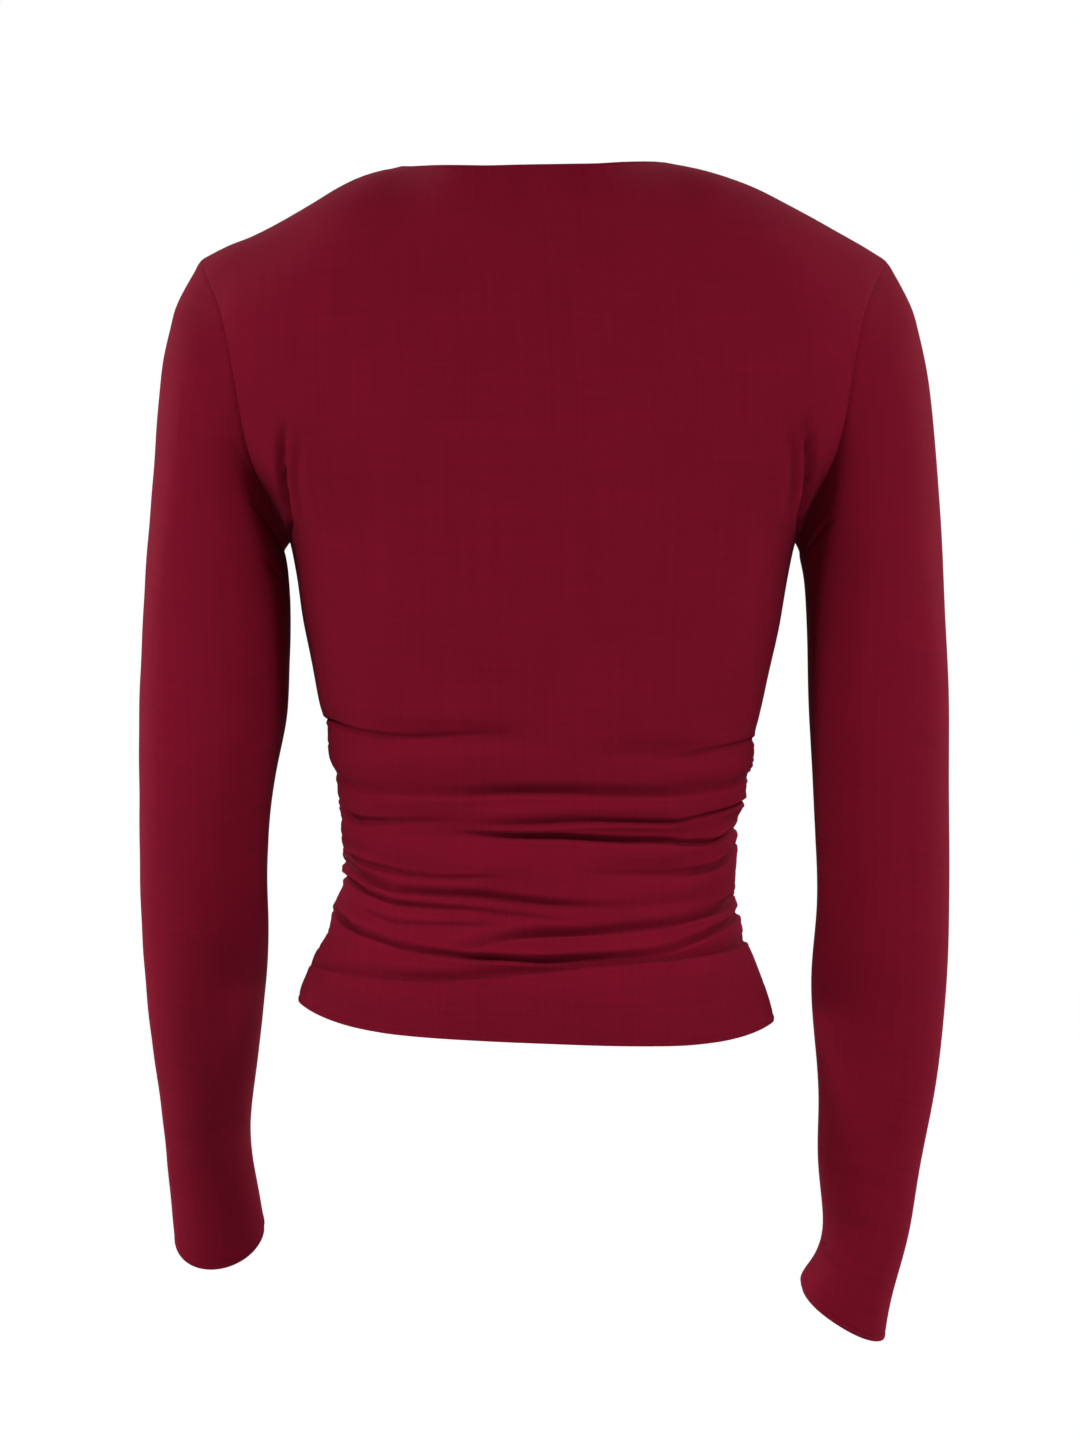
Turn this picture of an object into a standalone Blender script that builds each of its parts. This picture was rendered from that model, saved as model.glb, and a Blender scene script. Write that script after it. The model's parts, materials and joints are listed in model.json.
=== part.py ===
"""Square neck top: a fitted, long-sleeved jersey top in the form it has when it is worn.

Frame: metres, +Z up. The front faces -Y, the back faces +Y and the wearer's left is +X.
The origin is midway between the two neck ends of the shoulder seams.
Four pieces of cloth are cut and sewn: a back, a front and two set-in sleeves. Each starts
as a flat grid of cloth that is carried, corner by corner, to its place on the figure.
Every size in this file is in millimetres; points are turned into metres as they are placed.
"""
import math
from collections import namedtuple

import bmesh
import bpy
from mathutils import Vector

MM = 0.001
BACK, FRONT = 1, -1
LEFT, RIGHT = 1, -1

# ---- the cloth
CLOTH = 1.2              # wall of the jersey
SEAM = 0.4               # gap between back and front at the side and shoulder seams
ARMHOLE_SEAM = 0.52      # gap between a panel and a sleeve
POINT_SEAM = 1.25        # the same at the shoulder's point, where the two walls lean together
POINT_FOCUS = 6          # the higher, the closer to the point the wider gap keeps
LIP = 2.0                # narrow flat strip of cloth along each seam

# ---- where the pieces meet, as heights from the origin and distances from the centre line
UNDERARM = -209          # where side seam and armhole meet
SHOULDER_HALF = 190      # centre line to the point of the shoulder
SHOULDER_DROP = 53       # from the neck end of the shoulder seam down to its point
SHOULDER_CURVE = {LEFT: 1.12, RIGHT: 1.5}   # above 1 the seam starts flat and steepens
SHOULDER_ROUND = 85      # height over which the cloth turns from flat to upright
ROUND_POWER = 2.2
NECK_HALF = 73
NECK_LEAN = 9            # the worn top sits a little to the wearer's left at the neck
BACK_NECK_DIP = 10
BACK_NECK_RISE = 25      # how far the cloth would still rise above the back neck edge
FRONT_NECK_DEPTH = 124
HEM = -468
BACK_HEM_DIP, FRONT_HEM_DIP = 12, 8
HEM_TILT = 0.04          # the hem hangs lower on the wearer's right
HEM_POWER = 5
HEM_BAND = 60            # the hem's curve fades out over this height
BODY_POWER = 2.3         # 2 is an ellipse, more is squarer
MEAN_DEPTH = 80          # of the body's sections, to turn the lip's width into an angle

# ---- how finely the cloth is cut into facets
NECK_COLUMNS = 3         # from the centre to the side of the neck
SIDE_COLUMNS = 8         # from there to the lip at the side
HALF_COLUMNS = NECK_COLUMNS + SIDE_COLUMNS + 1
HEM_ROWS, GATHER_ROWS, CHEST_ROWS = 2, 17, 4
GATHER_LOW, GATHER_HIGH = -452, -300
ARMHOLE_ROWS = 9
LOWER_ROWS = HEM_ROWS + GATHER_ROWS + CHEST_ROWS
PANEL_ROWS = LOWER_ROWS + ARMHOLE_ROWS + 1
SLEEVE_COLUMNS = 2 * ARMHOLE_ROWS
SLEEVE_ROWS = 20
CAP_ROWS = 6             # sleeve rows over which the armhole's own shape fades out
ROW_EASE = 0.7           # bunches the armhole rows at its top and bottom
LIP_SHARE = 0.0001       # share of the armhole's height from shoulder seam to its lip

# ---- the body of the top, level by level
# above the underarm, half is where the section would end if it went on under the sleeve
Section = namedtuple("Section", "height centre half back front")
BODY = (
    Section(-500, 2.0, 135.0, 98, 103),
    Section(-468, 2.0, 132.0, 93, 99),
    Section(-450, 3.0, 127.0, 87, 95),
    Section(-430, 2.2, 117.8, 79, 90),
    Section(-410, 1.8, 112.4, 74, 87),
    Section(-385, 0.5, 109.8, 72, 87),
    Section(-360, -0.5, 112.4, 73, 89),
    Section(-340, -1.2, 116.4, 76, 92),
    Section(-300, -0.5, 122.5, 83, 100),
    Section(-260, -1.0, 131.0, 90, 107),
    Section(-209, -1.5, 140.0, 96, 111),
    Section(-189, -1.5, 155.0, 97, 111),
    Section(-172, -1.5, 173.0, 98, 110),
    Section(-154, -2.0, 184.0, 98, 108),
    Section(-132, -2.0, 192.0, 97, 104),
    Section(-94, -2.0, 194.0, 94, 96),
    Section(-53, -2.0, 194.0, 88, 87),
    Section(0, -2.0, 194.0, 80, 78),
)

# half-width of the back and of the front at their armhole seams
Armhole = namedtuple("Armhole", "height back front")
ARMHOLE = (
    Armhole(-209, 140.0, 140.0),
    Armhole(-189, 150.0, 148.0),
    Armhole(-172, 158.0, 154.5),
    Armhole(-154, 163.0, 158.5),
    Armhole(-132, 167.0, 161.5),
    Armhole(-111, 171.0, 165.0),
    Armhole(-94, 175.0, 170.0),
    Armhole(-72, 183.0, 180.5),
    Armhole(-53, 190.0, 190.0),
)

# the largest creases of the gathered waist: from one end, through the middle, to the other
Crease = namedtuple("Crease", "panel start start_z middle_z end end_z depth width")
CREASES = (
    Crease(BACK, 121, -309, -317, 33, -318, 2.4, 8),
    Crease(BACK, -119, -321, -326, -60, -329, 2.0, 8),
    Crease(BACK, 109, -343, -349, -109, -342, 1.8, 11),
    Crease(BACK, 111, -357, -365, 50, -363, 2.2, 8),
    Crease(BACK, 45, -370, -374, -110, -363, 3.2, 8),
    Crease(BACK, 109, -381, -396, -13, -405, 2.2, 8),
    Crease(BACK, -106, -374, -389, -47, -391, 2.4, 8),
    Crease(BACK, 106, -396, -415, -106, -407, 3.0, 9),
    Crease(BACK, -112, -423, -441, 105, -446, 2.4, 9),
    Crease(FRONT, 119, -316, -325, 42, -328, 2.2, 8),
    Crease(FRONT, -120, -311, -319, -48, -317, 2.4, 8),
    Crease(FRONT, 111, -341, -352, -110, -346, 2.0, 11),
    Crease(FRONT, -110, -365, -377, -28, -376, 2.6, 8),
    Crease(FRONT, 110, -366, -381, -20, -387, 3.0, 8),
    Crease(FRONT, -107, -396, -413, 107, -402, 3.0, 9),
    Crease(FRONT, 112, -424, -438, -84, -443, 2.4, 9),
)
CREASE_RIDGE = 0.6       # how strongly a crease's two ridges stand up
CREASE_FADE = 22         # a crease runs out over this length at an end inside the panel
SIDE_REACH = 100         # a crease that starts this far out is caught in the side seam
SEAM_PINCH = 0.6         # share of such a crease's depth that pulls the side seam in
SEAM_BLEND = 14          # width beside the side seam where both panels follow the pinch

# a sleeve, section by section down the arm: its outer and inner edge as seen from behind,
# how far its middle lies behind the shoulder, its half depth and how far it is tipped
Ring = namedtuple("Ring", "outer outer_z inner inner_z behind depth tip")
CAP_DEPTH = 50
LEFT_SLEEVE = (
    Ring(197.5, -69, 141.5, -212.5, 0, 51, 0),
    Ring(204.0, -87, 141.5, -216, 0, 52, 0),
    Ring(209.5, -115, 140.5, -221, 0, 53, 0),
    Ring(213.0, -155, 139.5, -230, 1, 53, 0),
    Ring(216.5, -200, 138.6, -245, 2, 52, 0),
    Ring(219.5, -245, 138.6, -270, 4, 50, 0),
    Ring(221.5, -295, 140.5, -308, 5, 47, 0),
    Ring(221.5, -345, 148.5, -350, 5, 44, 2),
    Ring(222.0, -395, 151.5, -395, -3, 41, 14),
    Ring(221.8, -445, 152.5, -443, -22, 38, 25),
    Ring(218.6, -500, 160.0, -497, -52, 33, 30),
    Ring(215.3, -550, 166.8, -547, -82, 27, 30),
    Ring(214.0, -582, 163.5, -579, -97, 26.5, 33),
    Ring(212.5, -609, 160.3, -603, -106, 27.5, 44),
)
RIGHT_SLEEVE = (
    Ring(201.0, -69, 143.5, -212.5, 0, 51, 0),
    Ring(208.0, -86, 144.0, -216, 0, 52, 0),
    Ring(214.6, -115, 145.0, -221, 0, 53, 0),
    Ring(218.8, -155, 146.5, -230, 1, 53, 0),
    Ring(222.0, -200, 147.5, -245, 2, 52, 0),
    Ring(224.3, -250, 148.3, -270, 4, 50, 0),
    Ring(226.0, -300, 149.3, -308, 5, 47, 0),
    Ring(226.5, -355, 152.0, -357, 5, 44, 0),
    Ring(226.5, -410, 153.5, -410, 2, 41, 5),
    Ring(225.8, -460, 150.8, -460, -5, 38, 9),
    Ring(220.8, -510, 155.3, -508, -13, 33, 9),
    Ring(212.5, -560, 156.0, -557, -21, 29, 9),
    Ring(206.0, -600, 158.5, -600, -27, 27, 9),
    Ring(199.0, -628, 147.5, -619, -31, 28.5, 13),
    Ring(194.3, -654, 148.5, -629, -34, 29, 14),
)

# ---- colour
Finish = namedtuple("Finish", "name colour roughness")
JERSEY = Finish("wine jersey", (0.150, 0.0050, 0.0160, 1.0), 0.85)


def along(table, field, place):
    """Read one column of a table at any place, on a smooth curve through its rows.

    place counts rows from the table's first one, and may lie between two of them.
    """
    first = max(0, min(int(place), len(table) - 2))
    rest = place - first
    values = [getattr(row, field) for row in table]
    here, there = values[first], values[first + 1]
    before = values[first - 1] if first > 0 else 2 * here - there
    after = values[first + 2] if first + 2 < len(table) else 2 * there - here
    slope_in, slope_out = (there - before) / 2, (after - here) / 2
    cube, square = rest ** 3, rest ** 2
    return ((2 * cube - 3 * square + 1) * here + (cube - 2 * square + rest) * slope_in
            + (3 * square - 2 * cube) * there + (cube - square) * slope_out)


def row_of(table, height):
    """The place of a height among a table's rows, which run upwards."""
    last = len(table) - 2
    first = 0
    while first < last and height > table[first + 1].height:
        first += 1
    low, high = table[first].height, table[first + 1].height
    return first + (height - low) / (high - low)


def crease_line(crease, across):
    """Height of a crease at a distance from the centre line: a parabola through its table row."""
    middle = (crease.start + crease.end) / 2
    half = (crease.end - crease.start) / 2
    share = (across - middle) / half
    mean = (crease.start_z + crease.end_z) / 2
    lean = (crease.end_z - crease.start_z) / 2
    return crease.middle_z + (mean - crease.middle_z) * share ** 2 + lean * share


def trough(distance, width):
    """A soft trough, 1 deep in the middle, with a low ridge on each side."""
    q = distance / width
    return (1 - CREASE_RIDGE * q * q) * math.exp(-q * q)


def crease_depth(panel, across, height):
    """How far the panel's creases draw the cloth in at this place."""
    depth = 0.0
    for crease in CREASES:
        if crease.panel != panel:
            continue
        low, high = sorted((crease.start, crease.end))
        past = max(low - across, across - high, 0.0)
        fade = math.exp(-(past / CREASE_FADE) ** 2)
        held = max(low, min(across, high))
        depth += crease.depth * fade * trough(height - crease_line(crease, held), crease.width)
    return depth


def seam_pinch(side, height):
    """How far the creases caught in a side seam draw that seam in at this height."""
    pinch = 0.0
    for crease in CREASES:
        ends = ((crease.start, crease.start_z), (crease.end, crease.end_z))
        for across, end_z in ends:
            if across * side > SIDE_REACH:
                pinch += SEAM_PINCH * crease.depth * trough(height - end_z, crease.width)
    return pinch


def armhole_share(row):
    """Height of an armhole row: 0 at the underarm, 1 at the shoulder, bunched at both."""
    share = row / ARMHOLE_ROWS
    return share - ROW_EASE * math.sin(2 * math.pi * share) / (2 * math.pi)


def lower_height(row):
    """Height of a row below the underarm, before the hem is curved."""
    bands = ((HEM_ROWS, HEM, GATHER_LOW), (GATHER_ROWS, GATHER_LOW, GATHER_HIGH),
             (CHEST_ROWS, GATHER_HIGH, UNDERARM))
    for rows, low, high in bands:
        if row <= rows:
            return low + (high - low) * row / rows
        row -= rows
    return UNDERARM


def hem_drop(panel, across, half, height):
    """How far the hem's curve and tilt bring a place near the hem down."""
    dip = BACK_HEM_DIP if panel == BACK else FRONT_HEM_DIP
    fade = max(0.0, 1 - (height - HEM) / HEM_BAND)
    return fade * (dip * (1 - abs(across / half) ** HEM_POWER) - HEM_TILT * across)


def shoulder_round(depth_below):
    """Share of its full depth that the cloth has at a depth below the top of the shoulder."""
    left = 1 - min(max(depth_below / SHOULDER_ROUND, 0.0), 1.0)
    return (1 - left ** ROUND_POWER) ** (1 / ROUND_POWER)


def turn_of(across, half):
    """The angle round a section at which its curve is this far from the centre line."""
    return math.acos(min(across / half, 1.0) ** (BODY_POWER / 2))


def column_turn(step, half, edge):
    """The angle round a section of a column, counted from the centre of the panel."""
    if step <= NECK_COLUMNS:
        return turn_of(NECK_HALF * step / NECK_COLUMNS, half)
    neck, side = turn_of(NECK_HALF, half), turn_of(edge, half)
    if step == HALF_COLUMNS:
        return side
    lip = side + math.asin((LIP / MEAN_DEPTH) ** (BODY_POWER / 2))
    return neck + (lip - neck) * (step - NECK_COLUMNS) / SIDE_COLUMNS


def panel_point(panel, column, row):
    """A corner of the back or the front; columns count from the centre, + to the left."""
    side = LEFT if column >= 0 else RIGHT
    step = abs(column)
    top_row = row - LOWER_ROWS
    share = armhole_share(top_row) if 0 < top_row <= ARMHOLE_ROWS else 0.0
    if top_row == ARMHOLE_ROWS:
        in_neck = step < NECK_COLUMNS
        share = 1 - (LIP / -UNDERARM if in_neck else LIP_SHARE)
    if top_row > ARMHOLE_ROWS:
        share = 1.0
    level = UNDERARM + (-SHOULDER_DROP - UNDERARM) * share if top_row > 0 else lower_height(row)

    place = row_of(BODY, level)
    half = along(BODY, "half", place)
    depths = "back" if panel == BACK else "front"
    edge = half
    if top_row > 0:
        edge = along(ARMHOLE, depths, row_of(ARMHOLE, level))
    turn = column_turn(step, half, edge)
    across = side * half * math.cos(turn) ** (2 / BODY_POWER)
    depth_share = max(math.sin(turn), 0.0) ** (2 / BODY_POWER)

    if top_row > 0:
        along_seam = max(0.0, (abs(across) - NECK_HALF) / (SHOULDER_HALF - NECK_HALF))
        inside = max(0.0, 1 - (across / NECK_HALF) ** 2)
        top = -SHOULDER_DROP * along_seam ** SHOULDER_CURVE[side]
        rise = 0.0
        if panel == BACK:
            top -= BACK_NECK_DIP * inside
            rise = (BACK_NECK_RISE + BACK_NECK_DIP) * inside
        height = UNDERARM + (top - UNDERARM) * share
        deep = along(BODY, depths, row_of(BODY, height))
        out = deep * depth_share * shoulder_round(top + rise - height)
        across += NECK_LEAN * share ** 2 * (1 - abs(across) / SHOULDER_HALF)
    else:
        height = level - hem_drop(panel, across, half, level)
        deep = along(BODY, depths, place)
        out = deep * depth_share
        near_seam = math.exp(-(out / SEAM_BLEND) ** 2)
        draw = (near_seam * seam_pinch(side, height)
                + (1 - near_seam) * crease_depth(panel, across, height))
        outward = Vector((across / half ** 2, out / deep ** 2)).normalized()
        across -= outward.x * draw
        out -= outward.y * draw
    across += along(BODY, "centre", place)
    return Vector((across, panel * (SEAM / 2 + out), height))


def armhole_loop(side):
    """The armhole's corners, anticlockwise from above, from the underarm round to it again."""
    first, second = (FRONT, BACK) if side == LEFT else (BACK, FRONT)
    rows = [LOWER_ROWS + row for row in range(1, ARMHOLE_ROWS)]
    edge = side * HALF_COLUMNS
    low = panel_point(BACK, edge, LOWER_ROWS)
    high = panel_point(BACK, edge, PANEL_ROWS)
    low.y = high.y = 0.0
    up = [panel_point(first, edge, row) for row in rows]
    down = [panel_point(second, edge, row) for row in reversed(rows)]
    return [low] + up + [high] + down + [low]


def ring_point(side, rings, place, turn):
    """A point of a sleeve's section: turn is 0 at its outer edge and pi at its inner edge."""
    outer = Vector((side * along(rings, "outer", place), 0, along(rings, "outer_z", place)))
    inner = Vector((side * along(rings, "inner", place), 0, along(rings, "inner_z", place)))
    middle, reach = (outer + inner) / 2, (outer - inner) / 2
    middle.y = along(rings, "behind", place)
    tip = math.radians(along(rings, "tip", place))
    depth = along(rings, "depth", place)
    back = Vector((0, math.cos(tip), -math.sin(tip))) * depth
    return middle + reach * math.cos(turn) + back * math.sin(turn)


def sleeve_point(side, rings, armhole, column, row):
    """A corner of a sleeve; columns run round it from its seam, rows run up from the cuff."""
    share = column / SLEEVE_COLUMNS
    turn = math.pi + side * 2 * math.pi * share
    steps_down = SLEEVE_ROWS - row
    place = steps_down / SLEEVE_ROWS * (len(rings) - 1)
    point = ring_point(side, rings, place, turn)
    own = armhole[column] - ring_point(side, rings, 0.0, turn)
    point += own * max(0.0, 1 - steps_down / CAP_ROWS) ** 2
    if steps_down == 0:
        near_point = max(math.cos(turn), 0.0) ** POINT_FOCUS
        gap = ARMHOLE_SEAM + (POINT_SEAM - ARMHOLE_SEAM) * near_point
        following = sleeve_point(side, rings, armhole, column, row - 1)
        point += (following - point).normalized() * gap
    return point


def finish_material(finish):
    material = bpy.data.materials.new(finish.name)
    material.use_nodes = True
    shader = material.node_tree.nodes["Principled BSDF"]
    shader.inputs["Base Color"].default_value = finish.colour
    shader.inputs["Roughness"].default_value = finish.roughness
    shader.inputs["Metallic"].default_value = 0.0
    return material


def cloth_grid(columns, rows):
    """A flat grid of cloth, and the column and row of each of its corners."""
    cloth = bmesh.new()
    bmesh.ops.create_grid(cloth, x_segments=columns, y_segments=rows, size=0.5)
    place = {}
    for corner in cloth.verts:
        column = round((corner.co.x + 0.5) * columns)
        row = round((corner.co.y + 0.5) * rows)
        place[corner] = (column, row)
    return cloth, place


def sew(name, cloth, collection):
    """Make a piece of cloth an object with its wall and its colour."""
    mesh = bpy.data.meshes.new(name)
    cloth.to_mesh(mesh)
    cloth.free()
    mesh.shade_smooth()
    piece = bpy.data.objects.new(name, mesh)
    piece.data.materials.append(finish_material(JERSEY))
    wall = piece.modifiers.new("cloth wall", "SOLIDIFY")
    wall.thickness = CLOTH * MM
    wall.offset = -1
    collection.objects.link(piece)
    return piece


def make_panel(name, panel, collection):
    """The back or the front; seen from outside, its columns run to the right."""
    cloth, place = cloth_grid(2 * HALF_COLUMNS, PANEL_ROWS)
    if panel == FRONT:
        cut_square_neck(cloth, place)
    for corner in cloth.verts:
        column, row = place[corner]
        corner.co = panel_point(panel, -panel * (column - HALF_COLUMNS), row) * MM
    return sew(name, cloth, collection)


def cut_square_neck(cloth, place):
    """Remove the cloth between the straps, down to the row nearest the neckline's depth."""
    def below_origin(row):
        return -UNDERARM * (1 - armhole_share(row))

    neck_row = min(range(ARMHOLE_ROWS), key=lambda row: abs(below_origin(row) - FRONT_NECK_DEPTH))
    gone = []
    for face in cloth.faces:
        columns = [abs(place[corner][0] - HALF_COLUMNS) for corner in face.verts]
        rows = [place[corner][1] - LOWER_ROWS for corner in face.verts]
        if max(columns) <= NECK_COLUMNS and min(rows) >= neck_row:
            gone.append(face)
    bmesh.ops.delete(cloth, geom=gone, context="FACES")


def make_sleeve(name, side, sections, collection):
    """A set-in sleeve: its cap takes the armhole's own corners, moved off by the seam's gap."""
    armhole = armhole_loop(side)
    high, low = armhole[ARMHOLE_ROWS], armhole[0]
    cap = Ring(abs(high.x), high.z, abs(low.x), low.z, 0, CAP_DEPTH, 0)
    rings = (cap,) + sections
    cloth, place = cloth_grid(SLEEVE_COLUMNS, SLEEVE_ROWS)
    for corner in cloth.verts:
        column, row = place[corner]
        corner.co = sleeve_point(side, rings, armhole, column, row) * MM
    bmesh.ops.remove_doubles(cloth, verts=cloth.verts, dist=0.01 * MM)
    return sew(name, cloth, collection)


def main():
    for thing in list(bpy.data.objects):
        bpy.data.objects.remove(thing)
    garment = bpy.data.collections.new("square neck top")
    bpy.context.scene.collection.children.link(garment)
    make_panel("back_panel", BACK, garment)
    make_panel("front_panel", FRONT, garment)
    make_sleeve("left_sleeve", LEFT, LEFT_SLEEVE, garment)
    make_sleeve("right_sleeve", RIGHT, RIGHT_SLEEVE, garment)


main()
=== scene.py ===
# %% [markdown]
# # A square neck top in fine jersey
# The real top is four pieces of wine-red stretch jersey, cut flat and sewn: a back, a front with a
# square neckline, and two long sleeves. The cloth is pulled up along both side seams, so that soft
# creases run round the waist. Every piece here starts from the wall that the CAD holds for it.

import json
import math
import random
from collections import namedtuple

import bpy
import numpy as np
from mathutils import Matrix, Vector
from mathutils.kdtree import KDTree

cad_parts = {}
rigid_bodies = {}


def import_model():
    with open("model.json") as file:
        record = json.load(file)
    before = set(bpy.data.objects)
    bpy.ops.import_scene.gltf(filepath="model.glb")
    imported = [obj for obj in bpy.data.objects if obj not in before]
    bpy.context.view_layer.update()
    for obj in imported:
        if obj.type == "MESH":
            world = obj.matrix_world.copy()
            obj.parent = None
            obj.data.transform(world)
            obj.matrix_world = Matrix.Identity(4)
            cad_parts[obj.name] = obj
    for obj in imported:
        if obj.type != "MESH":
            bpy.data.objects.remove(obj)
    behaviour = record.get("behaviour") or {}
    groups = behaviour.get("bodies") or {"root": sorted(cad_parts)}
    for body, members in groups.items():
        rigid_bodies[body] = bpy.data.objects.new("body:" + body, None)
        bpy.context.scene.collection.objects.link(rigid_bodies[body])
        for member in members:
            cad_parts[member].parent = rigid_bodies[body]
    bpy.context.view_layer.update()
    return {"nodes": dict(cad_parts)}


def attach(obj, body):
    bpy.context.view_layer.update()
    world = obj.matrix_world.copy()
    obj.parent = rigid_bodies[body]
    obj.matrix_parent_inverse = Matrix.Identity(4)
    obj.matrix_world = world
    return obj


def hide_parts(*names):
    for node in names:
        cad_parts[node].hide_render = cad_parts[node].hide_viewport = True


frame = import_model()

MM = 0.001
LEFT, RIGHT = 1, -1
BACK, FRONT = 1, -1

# %% [markdown]
# ## The camera
# The picture shows the back, level and straight on. One picture pixel is 0.555 mm of cloth at the
# top's middle, and a viewpoint 2.2 m away gives the small perspective that the sleeves show. The lens
# follows from those two numbers, so the garment fills the frame as it does in the picture.

# %% Place the camera
PICTURE_WIDTH, PICTURE_HEIGHT = 1080, 1440
MM_PER_PIXEL = 0.555
ORIGIN_COLUMN, ORIGIN_ROW = 540, 165      # where the frame's origin lies in the picture
VIEW_DISTANCE = 2.2
SENSOR = 36.0                             # mm, along the picture's long side

view_x = (ORIGIN_COLUMN - PICTURE_WIDTH / 2) * MM_PER_PIXEL * MM
view_z = (ORIGIN_ROW - PICTURE_HEIGHT / 2) * MM_PER_PIXEL * MM
bpy.ops.object.camera_add(
    location=(view_x, VIEW_DISTANCE, view_z),
    rotation=(math.radians(90), 0, math.radians(180)),
)
camera = bpy.context.object
camera.name = "camera"
camera.data.sensor_width = SENSOR
camera.data.lens = SENSOR * VIEW_DISTANCE / (MM_PER_PIXEL * MM * PICTURE_HEIGHT)
bpy.context.scene.camera = camera
print("lens in mm:", round(camera.data.lens, 1))

# %% [markdown]
# ## Floor and light
# The studio is white all round. A wide pale disc lies as far below the top as a floor lies below a
# standing wearer, and the sky beyond it is as pale. Both look white but give off little light, or
# they would fill every crease. Large soft boxes far out at the sides make the edges that turn away
# brighter than the middle, and weak low ones stand before the back and the front. Smaller ones with
# a grid shine down on the waist from the four corners of the room, so that a crease is dark where its
# cloth faces down and light where it comes out again.

# %% Build the studio
FLOOR_BELOW = 1.42
FLOOR_RADIUS = 14.0
FLOOR_GLOW = 0.92                         # only for the camera
FLOOR_TONE = 0.8
FLOOR_ROUGHNESS = 0.9
SKY_LIGHT = 0.10

scene = bpy.context.scene
scene.view_settings.view_transform = "Standard"
scene.view_settings.look = "None"

bpy.ops.mesh.primitive_circle_add(
    vertices=128, radius=FLOOR_RADIUS, fill_type="NGON", location=(0, 0, -FLOOR_BELOW)
)
floor = bpy.context.object
floor.name = "studio_floor"
floor_finish = bpy.data.materials.new("pale floor")
floor_finish.use_nodes = True
floor_nodes, floor_links = floor_finish.node_tree.nodes, floor_finish.node_tree.links
floor_shader = floor_nodes["Principled BSDF"]
floor_shader.inputs["Base Color"].default_value = (FLOOR_TONE, FLOOR_TONE, FLOOR_TONE, 1)
floor_shader.inputs["Roughness"].default_value = FLOOR_ROUGHNESS
floor_shader.inputs["Emission Color"].default_value = (1, 1, 1, 1)
floor_seen = floor_nodes.new("ShaderNodeLightPath")
glow = floor_nodes.new("ShaderNodeMath")
glow.operation = "MULTIPLY"
glow.inputs[1].default_value = FLOOR_GLOW
floor_links.new(floor_seen.outputs["Is Camera Ray"], glow.inputs[0])
floor_links.new(glow.outputs[0], floor_shader.inputs["Emission Strength"])
floor.data.materials.append(floor_finish)

world = bpy.data.worlds.new("studio air")
world.use_nodes = True
world_nodes, world_links = world.node_tree.nodes, world.node_tree.links
sky = world_nodes["Background"]
sky.inputs["Color"].default_value = (1, 1, 1, 1)
sky.inputs["Strength"].default_value = SKY_LIGHT
backdrop = world_nodes.new("ShaderNodeBackground")
backdrop.inputs["Color"].default_value = (1, 1, 1, 1)
backdrop.inputs["Strength"].default_value = 1.0
seen = world_nodes.new("ShaderNodeLightPath")
either = world_nodes.new("ShaderNodeMixShader")
world_links.new(seen.outputs["Is Camera Ray"], either.inputs["Fac"])
world_links.new(sky.outputs["Background"], either.inputs[1])
world_links.new(backdrop.outputs["Background"], either.inputs[2])
world_links.new(either.outputs["Shader"], world_nodes["World Output"].inputs["Surface"])
scene.world = world

WAIST = (0, 0, -0.48)
Softbox = namedtuple("Softbox", "name place size spread power")
SOFTBOXES = (
    Softbox("side_box_left", (2.0, 0.6, -0.7), 1.4, 100, 6.8),
    Softbox("side_box_right", (-2.0, 0.6, -0.7), 1.4, 100, 5.5),
    Softbox("side_box_front_left", (2.0, -0.6, -0.7), 1.4, 100, 3.0),
    Softbox("side_box_front_right", (-2.0, -0.6, -0.7), 1.4, 100, 2.6),
    Softbox("back_box", (0, 2.1, -1.2), 0.8, 100, 2.4),
    Softbox("front_box", (0, -2.1, -1.0), 0.8, 100, 2.8),
    Softbox("grid_box_left", (1.5, 1.35, 1.05), 0.5, 36, 1.35),
    Softbox("grid_box_right", (-1.5, 1.35, 1.05), 0.5, 36, 1.35),
    Softbox("grid_box_front_left", (1.5, -1.35, 1.05), 0.5, 36, 1.6),
    Softbox("grid_box_front_right", (-1.5, -1.35, 1.05), 0.5, 36, 1.35),
)
for box in SOFTBOXES:
    bpy.ops.object.light_add(type="AREA", location=box.place)
    lamp = bpy.context.object
    lamp.name = box.name
    lamp.data.shape = "SQUARE"
    lamp.data.size = box.size
    lamp.data.spread = math.radians(box.spread)
    lamp.data.energy = box.power
    aim = Vector(WAIST) - Vector(box.place)
    lamp.rotation_euler = aim.to_track_quat("-Z", "Y").to_euler()
print("soft boxes:", len(SOFTBOXES))

# %% [markdown]
# ## Reading the CAD's walls
# A CAD node arrives as loose triangles, inner and outer face alike. A welded copy is opened along its
# rim, where every edge is as long as the wall is thick, and only the outer face is kept. It was once
# a grid of rows and columns. Counting steps from its hem finds the row of each corner, and counting
# from its side seams finds the column, so the grid can be laid out again in clean four-sided faces.

# %% Find the outer corners of a wall
WALL = 1.2 * MM
SAME = 0.01 * MM
WALL_MATCH = 0.002 * MM
ON_SEAM = 1.0 * MM                        # side seams lie this near the plane y = 0
HEM_TOP = -0.440                          # the hem's edge lies below this height all round


def select_only(thing):
    if bpy.context.mode != "OBJECT":
        bpy.ops.object.mode_set(mode="OBJECT")
    bpy.ops.object.select_all(action="DESELECT")
    thing.select_set(True)
    bpy.context.view_layer.objects.active = thing


def values_of(things, name, width=1, kind=float):
    """A named value of every vertex, edge or face corner; a value of several numbers is a row."""
    values = np.zeros(len(things) * width, kind)
    things.foreach_get(name, values)
    return values if width == 1 else values.reshape(-1, width)


def points_of(mesh):
    return values_of(mesh.vertices, "co", 3)


def edges_of(mesh):
    return values_of(mesh.edges, "vertices", 2, int)


def set_points(mesh, points):
    mesh.vertices.foreach_set("co", np.asarray(points, float).ravel())
    mesh.update()


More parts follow.
